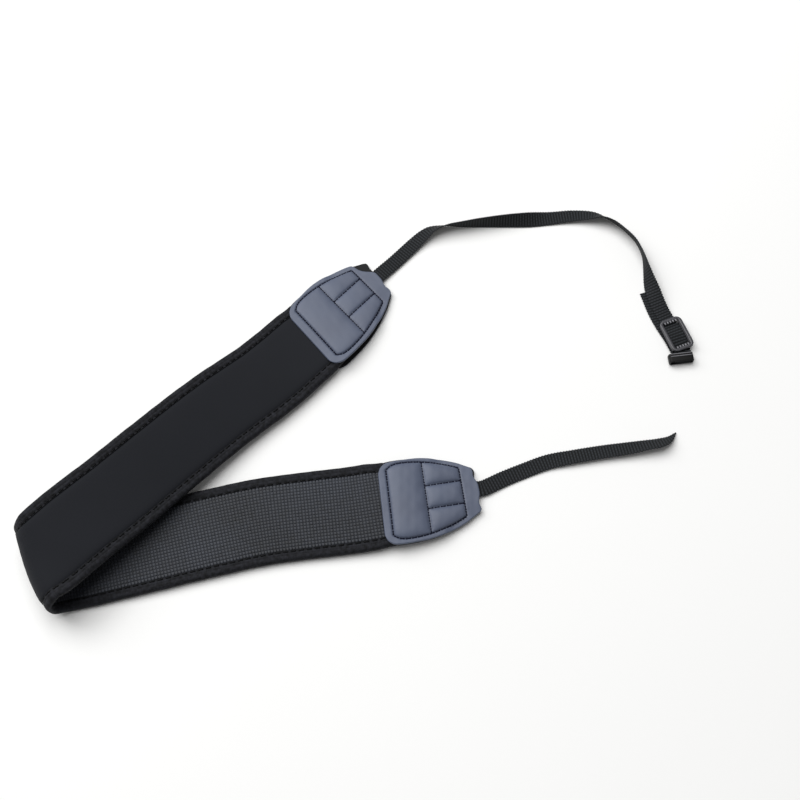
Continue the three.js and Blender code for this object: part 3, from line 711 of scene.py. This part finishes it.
def leather_backing():
    """Knitted backing of the coated leather: black and fuzzy."""
    material, add, place = new_material("knitted_leather_backing")
    fuzz = add("ShaderNodeTexNoise", {"Vector": place, "Scale": per_metre(0.8), "Detail": 4.0})
    return surfaced(material, "#101012", [(fuzz.outputs["Fac"], "#222224")], {"Roughness": 0.9, "IOR": 1.5})


def sewing_thread(name, dark, pale):
    """Bonded polyester thread: dark, with a faint gloss on its twist."""
    material, add, place = new_material(name, flat=False)
    fibre = add("ShaderNodeTexNoise", {"Vector": place, "Scale": per_metre(1.2)})
    return surfaced(
        material, dark, [(fibre.outputs["Fac"], pale)],
        {"Roughness": 0.6, "IOR": 1.55, "Specular IOR Level": 0.12},
    )


def woven_webbing():
    """Woven nylon webbing: greenish black, with a painted highlight on the crests of its ribs and a dull
    sheen.
    """
    material, add, place = new_material("woven_nylon_webbing")
    rib = add("ShaderNodeAttribute", attribute_name="tone").outputs["Fac"]
    fray = add("ShaderNodeTexNoise", {"Vector": place, "Scale": per_metre(1.0), "Detail": 4.0})
    fuzzy = add("ShaderNodeMapRange", {"Value": fray.outputs["Fac"], "From Min": 0.3, "To Max": 0.5})
    return surfaced(
        material, "#070808", [(rib, "#3a3d41"), (fuzzy.outputs["Result"], "#121415")], {
            "Roughness": 0.75, "IOR": 1.53, "Specular IOR Level": 0.15,
            "Sheen Weight": 0.03, "Sheen Roughness": 0.4,
        }, relief=(fray.outputs["Fac"], 0.4, 0.1),
    )


def moulded_plastic(name, dark, pale, roughness, specular=0.5):
    """Injection-moulded plastic: an even colour with faint flow marks, satin on flats and bright on edges."""
    material, add, place = new_material(name, flat=False)
    flow = add("ShaderNodeTexNoise", {"Vector": place, "Scale": per_metre(6), "Detail": 3.0})
    skin = add("ShaderNodeTexNoise", {"Vector": place, "Scale": per_metre(0.6)})
    return surfaced(
        material, dark, [(flow.outputs["Fac"], pale)],
        {"Roughness": roughness, "IOR": 1.48, "Specular IOR Level": specular},
        relief=(skin.outputs["Fac"], 0.15, 0.04),
    )


def pale_table():
    """Matt white laminate: an even pale ground with the faintest unevenness."""
    material, add, place = new_material("matt_white_laminate", flat=False)
    patches = add("ShaderNodeTexNoise", {"Vector": place, "Scale": per_metre(400)})
    return surfaced(
        material, "#f9f9f8", [(patches.outputs["Fac"], "#fcfcfb")], {"Roughness": 0.8, "IOR": 1.45},
    )


JERSEY = laminated_jersey()
# The sheet between the studs is the same rubber as the studs, coloured darker as painted shade in the gaps
# between them.
SHADED_GRIP_SHEET = grip_rubber("moulded_grip_rubber_sheet_painted_shade", "#11141a", "#181c25", 0.7)
GRIP_STUDS = grip_rubber("moulded_grip_rubber_studs", "#14171d", "#2a2f39", 0.6)
TAPE = binding_tape()
COATED_LEATHER = coated_leather()
BACKING = leather_backing()
NAVY_THREAD = sewing_thread("bonded_polyester_thread_navy", "#070918", "#11152b")
BLACK_THREAD = sewing_thread("bonded_polyester_thread_black", "#030304", "#0a0b0d")
WEBBING = woven_webbing()
BUCKLE_PLASTIC = moulded_plastic("moulded_acetal_grey", "#37373b", "#47474c", 0.3)
KEEPER_PLASTIC = moulded_plastic("moulded_nylon_black", "#080808", "#101010", 0.5, specular=0.2)
# Paler plastic on the buckle's teeth and the keeper's raised lines: a painted highlight where light catches
# them.
PAINTED_HIGHLIGHT_PLASTIC = moulded_plastic("moulded_acetal_painted_highlight", "#606064", "#808085", 0.25)


# The band: a foam pad with its smooth cover, and the grip lining on its inner face.

BAND_FROM = SHIELD_A_BASE - BAND_UNDER_SHIELD
BAND_TO = SHIELD_B_BASE + BAND_UNDER_SHIELD
BAND_STEP = 1.5
PAD_COLUMNS = 49
LINING_COLUMNS = 25


def stations(start, stop, step):
    return np.linspace(start, stop, int(math.ceil((stop - start) / step)) + 1)[:, None]


def seam_dip(along, across, half):
    """How far a face is drawn down beside the tape, less at the fold, and lower still under the tape."""
    from_tape = half - TAPE_WIDTH - np.abs(across)
    beside = SEAM_DIP * np.exp(-np.maximum(from_tape, 0) / SEAM_DIP_REACH)
    under = UNDER_TAPE_DROP * eased(-from_tape, UNDER_TAPE_FROM, SEAM_OVERLAP)
    return beside * (1 - FOLD_FLUSH * at_fold(along, across)) + under


def pad_face(along, across, half, squeeze):
    """Outer face of the pad: crowned, drawn down beside the tape, with a soft unevenness."""
    crown = OUTER_CROWN - OUTER_FALL * (across / half) ** 2 - seam_dip(along, across, half)
    return (crown + waves(along, across, PAD_WAVES)) * squeeze


def lining_face(along, across, half, squeeze):
    """Face of the lining between its studs."""
    share = np.clip(np.abs(across) / half, 0, 1)
    crown = LINING_CROWN - (LINING_CROWN - LINING_SHOULDER) * share
    dip = LINING_DIP_SHARE * seam_dip(along, across, half)
    return -(crown - dip - STUD_HEIGHT) * squeeze


def band_layer(name, columns, face, finish, node):
    """A layer of the band, from its face to the surface where pad and lining meet."""
    along = stations(BAND_FROM, BAND_TO, BAND_STEP)
    half, squeeze = band_outline(along)
    across = np.linspace(-1, 1, columns)[None] * (half - TAPE_WIDTH + SEAM_OVERLAP)
    back = -(LINING_SHOULDER - LINING_THICKNESS) * squeeze * np.ones_like(across)
    return layer_piece(
        name, along, (across, face(along, across, half, squeeze)), (across, back), [finish], [node],
    )


pad = band_layer("padded_neck_band", PAD_COLUMNS, pad_face, JERSEY, "neoprene_pad")
grip_sheet = band_layer("grip_sheet", LINING_COLUMNS, lining_face, SHADED_GRIP_SHEET, "grip_lining")

# The studs, as far as a little way under the shields. Each has three rings of four corners.
STUDS_UNDER_SHIELD = 4
STUDS_EACH_SIDE = 10
STUD_LEVELS = np.array((0.0, 0.7, 1.0))
STUD_REACH = np.array((STUD_FOOT, STUD_FOOT - STUD_TAPER, STUD_TOP))
STUD_CORNERS = np.array(((-1, -1), (1, -1), (1, 1), (-1, 1)))
STUD_TOP_AND_FOOT = np.array(((8, 9, 10, 11), (3, 2, 1, 0)))


def stud_piece(name, start, stop):
    """Studs in straight rows and columns, each a small block with a softened top."""
    rows = np.arange(start, stop, STUD_PITCH)
    columns = np.arange(-STUDS_EACH_SIDE, STUDS_EACH_SIDE + 1) * STUD_PITCH
    along, across = (part.reshape(-1, 1, 1) for part in np.meshgrid(rows, columns, indexing="ij"))
    half, squeeze = band_outline(along)
    corner_along = along + STUD_REACH[None, :, None] * STUD_CORNERS[None, None, :, 0]
    corner_across = across + STUD_ACROSS * STUD_REACH[None, :, None] * STUD_CORNERS[None, None, :, 1]
    uneven = np.random.default_rng(STUD_SEED).uniform(STUD_LOWEST, 1.0, along.shape)
    rise = uneven * (STUD_LEVELS * STUD_HEIGHT)[None, :, None]
    corner_out = lining_face(along, across, half, squeeze) - rise
    flat = np.stack(np.broadcast_arrays(corner_along, corner_across, corner_out), axis=-1)
    rings, around = len(STUD_LEVELS), len(STUD_CORNERS)
    one = np.concatenate([tube_faces(rings, around), STUD_TOP_AND_FOOT])
    return new_piece(
        name, on_strap(corner_along, corner_across, corner_out), repeated(one, along.size, rings * around),
        [GRIP_STUDS], flat=MM * flat,
    )


grip_studs = stud_piece("grip_studs", SHIELD_A_BASE - STUDS_UNDER_SHIELD, SHIELD_B_BASE + STUDS_UNDER_SHIELD)

# The tape on both long edges, drawn in along its stitches.
TAPE_STEP = 0.7
TAPE_FLANGE_STEPS = 16
TAPE_EDGE_STEPS = 11


def tape_groove(along, inset):
    """How far the tape is pulled in by its stitches, most under the middle of each."""
    pull = 1 - TAPE_GROOVE_SWING + TAPE_GROOVE_SWING * swing(along, TAPE_PITCH)
    return TAPE_GROOVE * pull * hump(inset - TAPE_STITCH, TAPE_GROOVE_REACH)


def tape_level(along, inset, height):
    """Height of the tape's flat part at an inset from the edge: creased, rolled down and stitched."""
    crease = TAPE_CREASE_DEPTH * hump(inset - TAPE_CREASE, TAPE_CREASE_REACH)
    rolled = TAPE_ROLL * eased(inset, TAPE_CREASE, TAPE_STITCH)
    return height - crease - rolled - tape_groove(along, inset)


def tape_thickness(along, edge, squeeze):
    """Share of its full height that the tape has, squeezed under the shields and pressed at the fold."""
    return squeeze * (1 - FOLD_PRESS * at_fold(along, edge * BAND_WIDTH / 2))


def edge_tape(name, edge, node):
    """One tape, from its edge on the outer face, round the band's edge, to its edge on the inner face."""
    along = stations(BAND_FROM, BAND_TO, TAPE_STEP)
    half, squeeze = band_outline(along)
    share = tape_thickness(along, edge, squeeze)
    flange = np.linspace(TAPE_WIDTH, TAPE_ROUND, TAPE_FLANGE_STEPS)[None]
    turn = np.linspace(math.pi / 2, -math.pi / 2, TAPE_EDGE_STEPS)[1:-1][None]
    middle = (TAPE_OUTER - TAPE_INNER) / 2
    rise = (TAPE_OUTER + TAPE_INNER) / 2
    edge_inset = TAPE_ROUND * (1 - squared(np.cos(turn), TAPE_SQUARENESS))
    edge_out = middle + rise * squared(np.sin(turn), TAPE_SQUARENESS)
    stretch = np.ones_like(along)
    inset = np.concatenate([flange, edge_inset, flange[:, ::-1]], axis=1) * stretch
    out = np.concatenate([
        tape_level(along, flange, TAPE_OUTER), edge_out * stretch,
        -tape_level(along, flange[:, ::-1], TAPE_INNER),
    ], axis=1)
    uneven = waves(along, edge * TAPE_WAVE_PLACE, TAPE_WAVES)
    inset_back = np.maximum(inset, TAPE_WALL)
    out_back = np.clip(out, TAPE_WALL - TAPE_INNER, TAPE_OUTER - TAPE_WALL)
    face = (edge * (half + uneven - inset), out * share)
    back = (edge * (half + uneven - inset_back), out_back * share)
    # The tone is painted shade in the stitch groove, strongest under each stitch.
    under_stitch = np.clip(TAPE_SHADE + TAPE_SHADE_SWING * swing(along, TAPE_PITCH), 0, 1)
    painted_stitch_shade = under_stitch * hump(inset - TAPE_STITCH, TAPE_SHADE_REACH)
    tape = layer_piece(name, along, face, back, [TAPE], [node], tone=painted_stitch_shade)


def tape_stitches():
    """A row of stitches along both edges, on both faces of the band."""
    first, last = math.ceil(BAND_FROM / TAPE_PITCH), math.floor(BAND_TO / TAPE_PITCH)
    middles = np.arange(first, last) * TAPE_PITCH
    starts, ends, ups = [], [], []
    for edge in (1, -1):
        for face, height in ((1, TAPE_OUTER), (-1, TAPE_INNER)):
            for places, share in ((starts, -TAPE_STITCH_SHARE), (ends, TAPE_STITCH_SHARE)):
                along = middles + share * TAPE_PITCH
                half, squeeze = band_outline(along)
                level = tape_level(along, np.full_like(along, TAPE_STITCH), height)
                out = face * level * tape_thickness(along, edge, squeeze)
                places.append(on_strap(along, edge * (half - TAPE_STITCH), out))
            ups.append(face * along_line(OUTWARD_LINE, middles))
    thread_piece("edge_tape_stitches", starts, ends, ups, TAPE_THREAD * MM, BLACK_THREAD)


edge_tape("near_edge_tape", 1, "edge_binding_near")
edge_tape("far_edge_tape", -1, "edge_binding_far")
tape_stitches()

# The leather shields. Lines gives where a shield's edge, stitches and mouth lie along the strap, slant how
# far they run on for each millimetre across, and towards the way that they follow each other. Face is 1 on
# the strap's outer face and -1 on its inner one, puffed the share of the stuffing that shows, and offset
# how far the shield lies off centre.
SHIELD_LINES = (0, *CROSSWISE_STITCHES, SHIELD_LENGTH)
SHIELD_A = {"base": SHIELD_A_BASE, "towards": -1, "lines": (-4.2, 2.1, 25.7, 50.8, 60.8), "slant": -0.105}
SHIELD_B = {"base": SHIELD_B_BASE, "towards": 1, "lines": (0, 5.1, 27.7, 50.7, 60.2), "slant": -0.045}
UPPER_A = {**SHIELD_A, "face": 1, "puffed": 0.75, "offset": 0.5}
LOWER_A = {**SHIELD_A, "face": -1, "puffed": 0.0, "offset": 0.0}
UPPER_B = {**SHIELD_B, "face": -1, "puffed": 1.3, "offset": 0.4}
LOWER_B = {**SHIELD_B, "face": 1, "puffed": 0.0, "offset": 0.0}

# Growth is added to a shield's half width: on the far side by the band, farther on, and on the near side.
# The end cut is what is off its far corner, from where to where across that grows, and off its near corner.
# Columns: piece, shield, growth, end cut, CAD node.
SHIELDS = (
    ("buckle_end_upper_leather", UPPER_A, (-0.8, 0.4, 0.5), (7.0, 2.2, 12.5, -0.2), "tab_a_outer"),
    ("buckle_end_lower_leather", LOWER_A, (-0.6, -0.4, 1.7), (-1.4, 3.0, 8.0, 0.4), "tab_a_inner"),
    ("free_end_upper_leather", UPPER_B, (-0.9, -0.3, 0.0), (1.0, 5.0, 11.0, -0.8), "tab_b_inner"),
    ("free_end_lower_leather", LOWER_B, (-1.2, -0.3, -0.8), (-0.2, 5.0, 11.0, 0.0), "tab_b_outer"),
)
GROWTH_SPAN = (8, 26)  # along a shield
NEAR_CUT_SPAN = (10, 15)  # across it
END_SPAN = (0.78, 1)  # share of its rows that the end cut moves
SHIELD_ROW_COUNT = 104
SHIELD_COLUMN_COUNT = 99
RIM_CROWDING = 0.75


def crowded(count):
    """Shares from 0 to 1 that lie closer together at both ends."""
    even = np.linspace(0, 1, count)
    return (1 - RIM_CROWDING) * even + RIM_CROWDING * (1 - np.cos(math.pi * even)) / 2


def sewn_at(shield, along, across):
    """Distance along the strap from the nominal band edge, for a place on a shield's own pattern."""
    kept = np.clip(along, 0, SHIELD_LENGTH)
    return np.interp(kept, SHIELD_LINES, shield["lines"]) + along - kept + shield["slant"] * across


def along_strap(shield, along, across):
    return shield["base"] + shield["towards"] * sewn_at(shield, along, across)


def on_shield(shield, along, across, out):
    """Places in metres, for places on a shield's own pattern."""
    return on_strap(along_strap(shield, along, across), across + shield["offset"], shield["face"] * out)


def seam_lines(along, across):
    """Distance to the nearest line of stitches, and the way along that line."""
    _, border, _ = shield_row(along)
    sideways = np.abs(across)
    past_border = np.maximum(sideways - border, 0)
    past_base = np.maximum(BASE_STITCH - along, 0)
    past_end = np.maximum(along - END_STITCH, 0)
    before_cross = np.maximum(CROSS_STITCH - along, 0)
    distances = [np.hypot(along - line, past_border) for line in CROSSWISE_STITCHES]
    distances.append(np.hypot(sideways - border, past_base + past_end))
    distances.append(np.hypot(sideways - CHANNEL_HALF_WIDTH, before_cross + past_end))
    distances = np.stack(distances)
    crosswise = np.argmin(distances, axis=0) < len(CROSSWISE_STITCHES)
    return np.min(distances, axis=0), np.where(crosswise, across, along)


def mouth_reach(across):
    """The end edge bulges over the webbing and is notched on both sides of it."""
    sideways = np.abs(across)
    bulge = MOUTH_BULGE * (1 - eased(sideways, MOUTH_BULGE_FROM, CHANNEL_HALF_WIDTH))
    return bulge - MOUTH_NOTCH * hump(sideways - CHANNEL_HALF_WIDTH - MOUTH_NOTCH_OFFSET, MOUTH_NOTCH_REACH)


def leather_under(shield, along, across):
    """Underside of the leather: over the band, over the webbing, and pinched at the rim beyond the band."""
    distance = sewn_at(shield, along, across)
    half, border, _ = shield_row(along)
    _, _, squeeze = shield_row(distance)
    flap = eased(along, END_STITCH - FLAP_EASE, END_STITCH + FLAP_EASE)
    pinch_from = border - PINCH_INSIDE + (DRAPE_FROM + PINCH_INSIDE - border) * flap
    pinch_to = border + PINCH_OUTSIDE + (half - border - PINCH_OUTSIDE) * flap
    beyond_band = eased(distance, BAND_UNDER_SHIELD, BAND_UNDER_SHIELD + PINCH_EASE)
    pinch = beyond_band * eased(np.abs(across), pinch_from, pinch_to)
    over_band = OUTER_CROWN * squeeze + LEATHER_GAP
    beside_webbing = eased(np.abs(across + shield["offset"]), DRAPE_FROM, DRAPE_TO)
    over_webbing = (WEBBING_THICKNESS / 2 + LEATHER_GAP) * (1 - beside_webbing)
    return np.maximum(over_band + (LEATHER_GAP / 2 - over_band) * pinch, over_webbing)


def stuffing(along, across):
    """Height of the leather between its seams: none on a seam, and smooth over the middle of each field."""
    _, border, _ = shield_row(along)
    before_cross = np.maximum(CROSS_STITCH - along, 0)
    distances = [
        along - BASE_STITCH, END_STITCH - along, border - across, border + across,
        np.abs(along - CROSS_STITCH), np.hypot(across - CHANNEL_HALF_WIDTH, before_cross),
        np.hypot(across + CHANNEL_HALF_WIDTH, before_cross),
    ]
    rises = [1 - np.exp(-np.maximum(distance, 0) / PUFF_REACH) for distance in distances]
    return PUFF * np.prod(rises, axis=0)


def leather_top(shield, along, across, from_edge):
    """Outside of the leather: rounded at its edge, stuffed between the seams, pulled in along them."""
    from_seam, way = seam_lines(along, across)
    pucker = PUCKER * swing(way, SHIELD_PITCH) * np.exp(-from_seam / PUCKER_REACH)
    wrinkles = waves(along, across, LEATHER_WAVES) * (1 - hump(from_seam, WRINKLE_FREE))
    rim = np.sqrt(1 - (1 - np.clip(from_edge / LEATHER_RIM, 0, 1)) ** 2)
    thickness = LEATHER * (CUT_EDGE + (1 - CUT_EDGE) * rim)
    groove = SEAM_GROOVE * hump(from_seam, SEAM_GROOVE_REACH)
    relief = shield["puffed"] * (stuffing(along, across) + wrinkles) + pucker - groove
    return leather_under(shield, along, across) + thickness + relief * rim


def leather_shield(name, shield, growth, end_cut, node):
    """One shield, with its growth and its end cut as in SHIELDS."""
    far_base, far_end, near = growth
    far_cut, cut_from, cut_to, near_cut = end_cut
    rows = crowded(SHIELD_ROW_COUNT)[:, None]
    columns = 2 * crowded(SHIELD_COLUMN_COUNT)[None] - 1
    nominal = rows * SHIELD_LENGTH
    planned = columns * shield_row(nominal)[0]
    end = mouth_reach(planned) - far_cut * eased(-planned, cut_from, cut_to)
    end = end - near_cut * eased(planned, *NEAR_CUT_SPAN)
    in_corner = np.clip(1 - (1 - np.abs(columns)) * shield_row(SHIELD_LENGTH)[0] / MOUTH_ROUND, 0, 1)
    end = end - MOUTH_ROUND * (1 - np.sqrt(1 - in_corner ** 2))
    along = nominal + end * eased(rows, *END_SPAN)
    half, _, _ = shield_row(along)
    far_growth = far_base + (far_end - far_base) * eased(along, *GROWTH_SPAN)
    across = columns * (half + np.where(columns < 0, far_growth, near))
    from_edge = np.minimum((1 - np.abs(columns)) * half, np.minimum(nominal, SHIELD_LENGTH - nominal))
    top = leather_top(shield, along, across, from_edge)
    under = leather_under(shield, along, across)
    # The tone is painted shade along the seams.
    from_seam, _ = seam_lines(along, across)
    return layer_piece(
        name, along, (across, top), (across, under), [COATED_LEATHER, BACKING], [node],
        place=partial(on_shield, shield), tone=SEAM_SHADE * hump(from_seam, SEAM_SHADE_REACH), back_finish=1,
    )


for name, shield, growth, end_cut, node in SHIELDS:
    leather = leather_shield(name, shield, growth, end_cut, node)

BORDER_STEPS = 60


def seam_paths():
    """The stitch lines of one shield as runs of along and across."""
    run = np.linspace(BASE_STITCH, END_STITCH, BORDER_STEPS)
    border = shield_row(run)[1]
    paths = [np.stack([run, end * border], axis=-1) for end in (-1, 1)]
    for line in CROSSWISE_STITCHES:
        reach = shield_row(line)[1]
        paths.append(np.array(((line, -reach), (line, reach))))
    for across in (-CHANNEL_HALF_WIDTH, CHANNEL_HALF_WIDTH):
        paths.append(np.array(((CROSS_STITCH, across), (END_STITCH, across))))
    return paths


def on_path(path, at):
    """Along and across, at distances from the start of a stitch line."""
    return [np.interp(at, run_lengths(path), column) for column in path.T]


def shield_stitches():
    """Stitches from hole to hole along the seams of all four shields."""
    starts, ends, ups = [], [], []
    for path in seam_paths():
        length = run_lengths(path)[-1]
        holes = np.linspace(0, length, int(round(length / SHIELD_PITCH)) + 1)
        gap = SHIELD_HOLE_GAP * (holes[1] - holes[0])
        for _, shield, _, _, _ in SHIELDS:
            for places, at in ((starts, holes[:-1] + gap), (ends, holes[1:] - gap)):
                along, across = on_path(path, at)
                out = leather_top(shield, along, across, np.full_like(along, LEATHER_RIM))
                places.append(on_shield(shield, along, across, out))
            along, across = on_path(path, (holes[:-1] + holes[1:]) / 2)
            ups.append(shield["face"] * along_line(OUTWARD_LINE, along_strap(shield, along, across)))
    thread_piece("leather_stitches", starts, ends, ups, SHIELD_THREAD * MM, NAVY_THREAD)


shield_stitches()

# The two lengths of webbing.
WEBBING_STEP = RIB_PITCH / 5
WEBBING_COLUMNS = 33
WEBBING_A_TO = BAND_FROM - LEATHER_GAP
WEBBING_B_FROM = BAND_TO + LEATHER_GAP


def near_edge(along):
    """Half the width, apart from the free end, which is cut on a slant to a point on the far edge."""
    share = np.sin(np.clip((STRAP_LENGTH - along) / TIP_CUT, 0, 1) * math.pi / 2)
    return TIP_WIDTH + (WEBBING_WIDTH - TIP_WIDTH) * share - WEBBING_WIDTH / 2


def ribbed_webbing(name, start, stop, node):
    """One length of webbing, with ribs on both faces."""
    along = stations(start, stop, WEBBING_STEP)
    share = crowded(WEBBING_COLUMNS)[None]
    sideways = 2 * share - 1
    rib = swing(along, RIB_PITCH)
    far = -WEBBING_WIDTH / 2
    teeth = EDGE_TEETH * sideways ** EDGE_TEETH_POWER * rib
    across = far + share * (near_edge(along) - far) + teeth
    rounding = (1 - np.abs(sideways) ** EDGE_FULLNESS) ** 0.5
    weave = across / RIB_COLUMN + np.round(along / RIB_PITCH) / 2
    broken = 1 - RIB_BREAK + RIB_BREAK * swing(weave, 1)
    lift = RIB_HEIGHT * (rib * broken - 1) / 2
    level = (WEBBING_THICKNESS / 2 + lift) * (CUT_EDGE + (1 - CUT_EDGE) * rounding)
    # The tone is a painted highlight on the rib crests, weaker where the weave breaks them.
    return layer_piece(
        name, along, (across, level), (across, -level), [WEBBING], [node],
        tone=(1 + rib) / 2 * broken,
    )


buckle_end_webbing = ribbed_webbing("buckle_end_webbing", 0, WEBBING_A_TO, "webbing_a")
free_end_webbing = ribbed_webbing("free_end_webbing", WEBBING_B_FROM, STRAP_LENGTH, "webbing_b")

# The moulded parts, each made of forms that are left as moulded or given a paler plastic as a painted
# highlight.
AS_MOULDED, PAINTED_HIGHLIGHT = 0, 1
QUARTER_TURN = 90


def moulded_piece(name, forms, centre, heading, plastic, node):
    """A part of several forms, set on the plan so that its own -y lies along the heading."""
    starts = np.cumsum([0] + [len(points) for points, _, _ in forms[:-1]])
    faces = np.concatenate([faces + start for (_, faces, _), start in zip(forms, starts)])
    finish_of_face = np.concatenate([np.full(len(faces), finish) for _, faces, finish in forms])
    x, y, z = np.concatenate([points for points, _, _ in forms]).T
    turn = math.radians(heading + QUARTER_TURN)
    plan_x = x * math.cos(turn) - y * math.sin(turn) + centre[0] - ORIGIN_MARK[0]
    plan_y = x * math.sin(turn) + y * math.cos(turn) + centre[1] - ORIGIN_MARK[1]
    new_piece(
        name, MM * np.stack([plan_x, plan_y, z], axis=-1), faces, [plastic, PAINTED_HIGHLIGHT_PLASTIC],
        [node], finish_of_face,
    )


def slide_buckle():
    """A frame with toothed end bars, a middle bar under the webbing, and deep side rails."""
    frame_bars = moulded_ring(
        rounded_loop(BUCKLE_WIDTH, BUCKLE_LENGTH, BUCKLE_CORNER),
        rounded_loop(BUCKLE_WIDTH - 2 * BUCKLE_SIDE_BAR, BUCKLE_LENGTH - 2 * BUCKLE_BAR, BUCKLE_BAR / 2),
        BUCKLE_BOTTOM, BUCKLE_TOP, squareness=0.6,
    )
    bar_height = MIDDLE_BAR_TOP - MIDDLE_BAR_BOTTOM
    bar_middle = (MIDDLE_BAR_TOP + MIDDLE_BAR_BOTTOM) / 2
    bar_length = BUCKLE_WIDTH - 2 * MIDDLE_BAR_INSET
    middle_bar = rounded_block((0, 0, bar_middle), (bar_length, BUCKLE_BAR, bar_height))
    forms = [(*frame_bars, AS_MOULDED), (*middle_bar, AS_MOULDED)]
    rail_height = (BUCKLE_BOTTOM + BUCKLE_TOP) / 2 - SIDE_RAIL_BOTTOM
    rail_middle = SIDE_RAIL_BOTTOM + rail_height / 2
    rail_width = BUCKLE_SIDE_BAR - SIDE_RAIL_THINNER
    rail_across = (BUCKLE_WIDTH - 2 * SIDE_RAIL_INSET - rail_width) / 2
    rail_size = (rail_width, SIDE_RAIL_LENGTH, rail_height)
    tooth_height = BUCKLE_TOP - TOOTH[2] / 2 + TOOTH_PROUD
    for end in (-1, 1):
        rail = rounded_block((end * rail_across, 0, rail_middle), rail_size, squareness=0.2)
        forms.append((*rail, AS_MOULDED))
        tooth_along = end * (BUCKLE_LENGTH / 2 - BUCKLE_BAR - TOOTH[1] / 4)
        for number in range(TEETH):
            tooth_across = (number - (TEETH - 1) / 2) * TOOTH_PITCH
            tooth_place = (tooth_across, tooth_along, tooth_height)
            tooth = rounded_block(tooth_place, TOOTH, squareness=0.4, around=12, upward=8)
            # Each tooth takes the paler plastic as a painted highlight.
            forms.append((*tooth, PAINTED_HIGHLIGHT))
    moulded_piece(
        "toothed_slide_buckle", forms, BUCKLE_CENTRE, BUCKLE_HEADING, BUCKLE_PLASTIC, "slide_buckle",
    )


def keeper_loop():
    """A flat loop with two raised lines across its top."""
    window_corner = KEEPER_CORNER - KEEPER_WALL
    points, faces = moulded_ring(
        rounded_loop(KEEPER_WIDTH, KEEPER_HEIGHT, KEEPER_CORNER),
        rounded_loop(KEEPER_WIDTH - 2 * KEEPER_SIDE, KEEPER_HEIGHT - 2 * KEEPER_WALL, window_corner),
        -KEEPER_LENGTH / 2, KEEPER_LENGTH / 2, squareness=0.3,
    )
    upright = np.stack([points[:, 0], -points[:, 2], points[:, 1] + KEEPER_HEIGHT / 2], axis=-1)
    forms = [(upright, faces, AS_MOULDED)]
    for inset in KEEPER_LINE_INSETS:
        line = rounded_block((0, KEEPER_LENGTH / 2 - inset, KEEPER_HEIGHT), KEEPER_LINE, squareness=0.4)
        # Each line takes the paler plastic as a painted highlight.
        forms.append((*line, PAINTED_HIGHLIGHT))
    moulded_piece("webbing_keeper", forms, KEEPER_CENTRE, KEEPER_HEADING, KEEPER_PLASTIC, "keeper_loop")


slide_buckle()
keeper_loop()

# The table, the light and the camera, with places in metres.
TABLE_SIZE = 6.0
ROOM_GLOW = 0.2
CAMERA_AIM = (0.020, -0.0003, 0.0)
CAMERA_RISE = math.radians(68)
CAMERA_DISTANCE = 0.711
CAMERA_NEAREST = 0.01
CAMERA_LENS = 50
CAMERA_SENSOR = 36

# Columns: light, place, width of its disc, watts.
LIGHTS = (
    ("overhead_softbox", (-0.7, 0.95, 2.4), 3.0, 74),
    ("window_side", (-2.0, 1.2, 1.7), 1.8, 25),
)


def table_top():
    half = TABLE_SIZE / 2
    corners = [(-half, -half, 0), (half, -half, 0), (half, half, 0), (-half, half, 0)]
    mesh = bpy.data.meshes.new("table_top")
    mesh.from_pydata(corners, [], [(0, 1, 2, 3)])
    mesh.materials.append(pale_table())
    add_object("table_top", mesh)


def white_room():
    world = bpy.data.worlds.new("white_room")
    world.use_nodes = True
    tree = world.node_tree
    tree.nodes.clear()
    glow = add_node(tree, "ShaderNodeBackground", {"Color": linear("#ffffff"), "Strength": ROOM_GLOW})
    add_node(tree, "ShaderNodeOutputWorld", {"Surface": glow.outputs["Background"]})
    bpy.context.scene.world = world
    bpy.context.scene.view_settings.view_transform = "Standard"


def soft_light(name, place, size, power):
    """A round softbox that faces the strap."""
    light = bpy.data.lights.new(name, "AREA")
    light.shape = "DISK"
    light.size = size
    light.energy = power
    lamp = add_object(name, light)
    lamp.location = place
    lamp.rotation_euler = (-Vector(place)).to_track_quat("-Z", "Y").to_euler()


def camera_above():
    camera = add_object("camera", bpy.data.cameras.new("camera"))
    away = Vector((0, -math.cos(CAMERA_RISE), math.sin(CAMERA_RISE)))
    camera.location = Vector(CAMERA_AIM) + CAMERA_DISTANCE * away
    camera.rotation_euler = (-away).to_track_quat("-Z", "Y").to_euler()
    camera.data.lens = CAMERA_LENS
    camera.data.sensor_width = CAMERA_SENSOR
    camera.data.clip_start = CAMERA_NEAREST
    bpy.context.scene.camera = camera


table_top()
white_room()
for name, place, size, power in LIGHTS:
    soft_light(name, place, size, power)
camera_above()

bpy.context.view_layer.update()
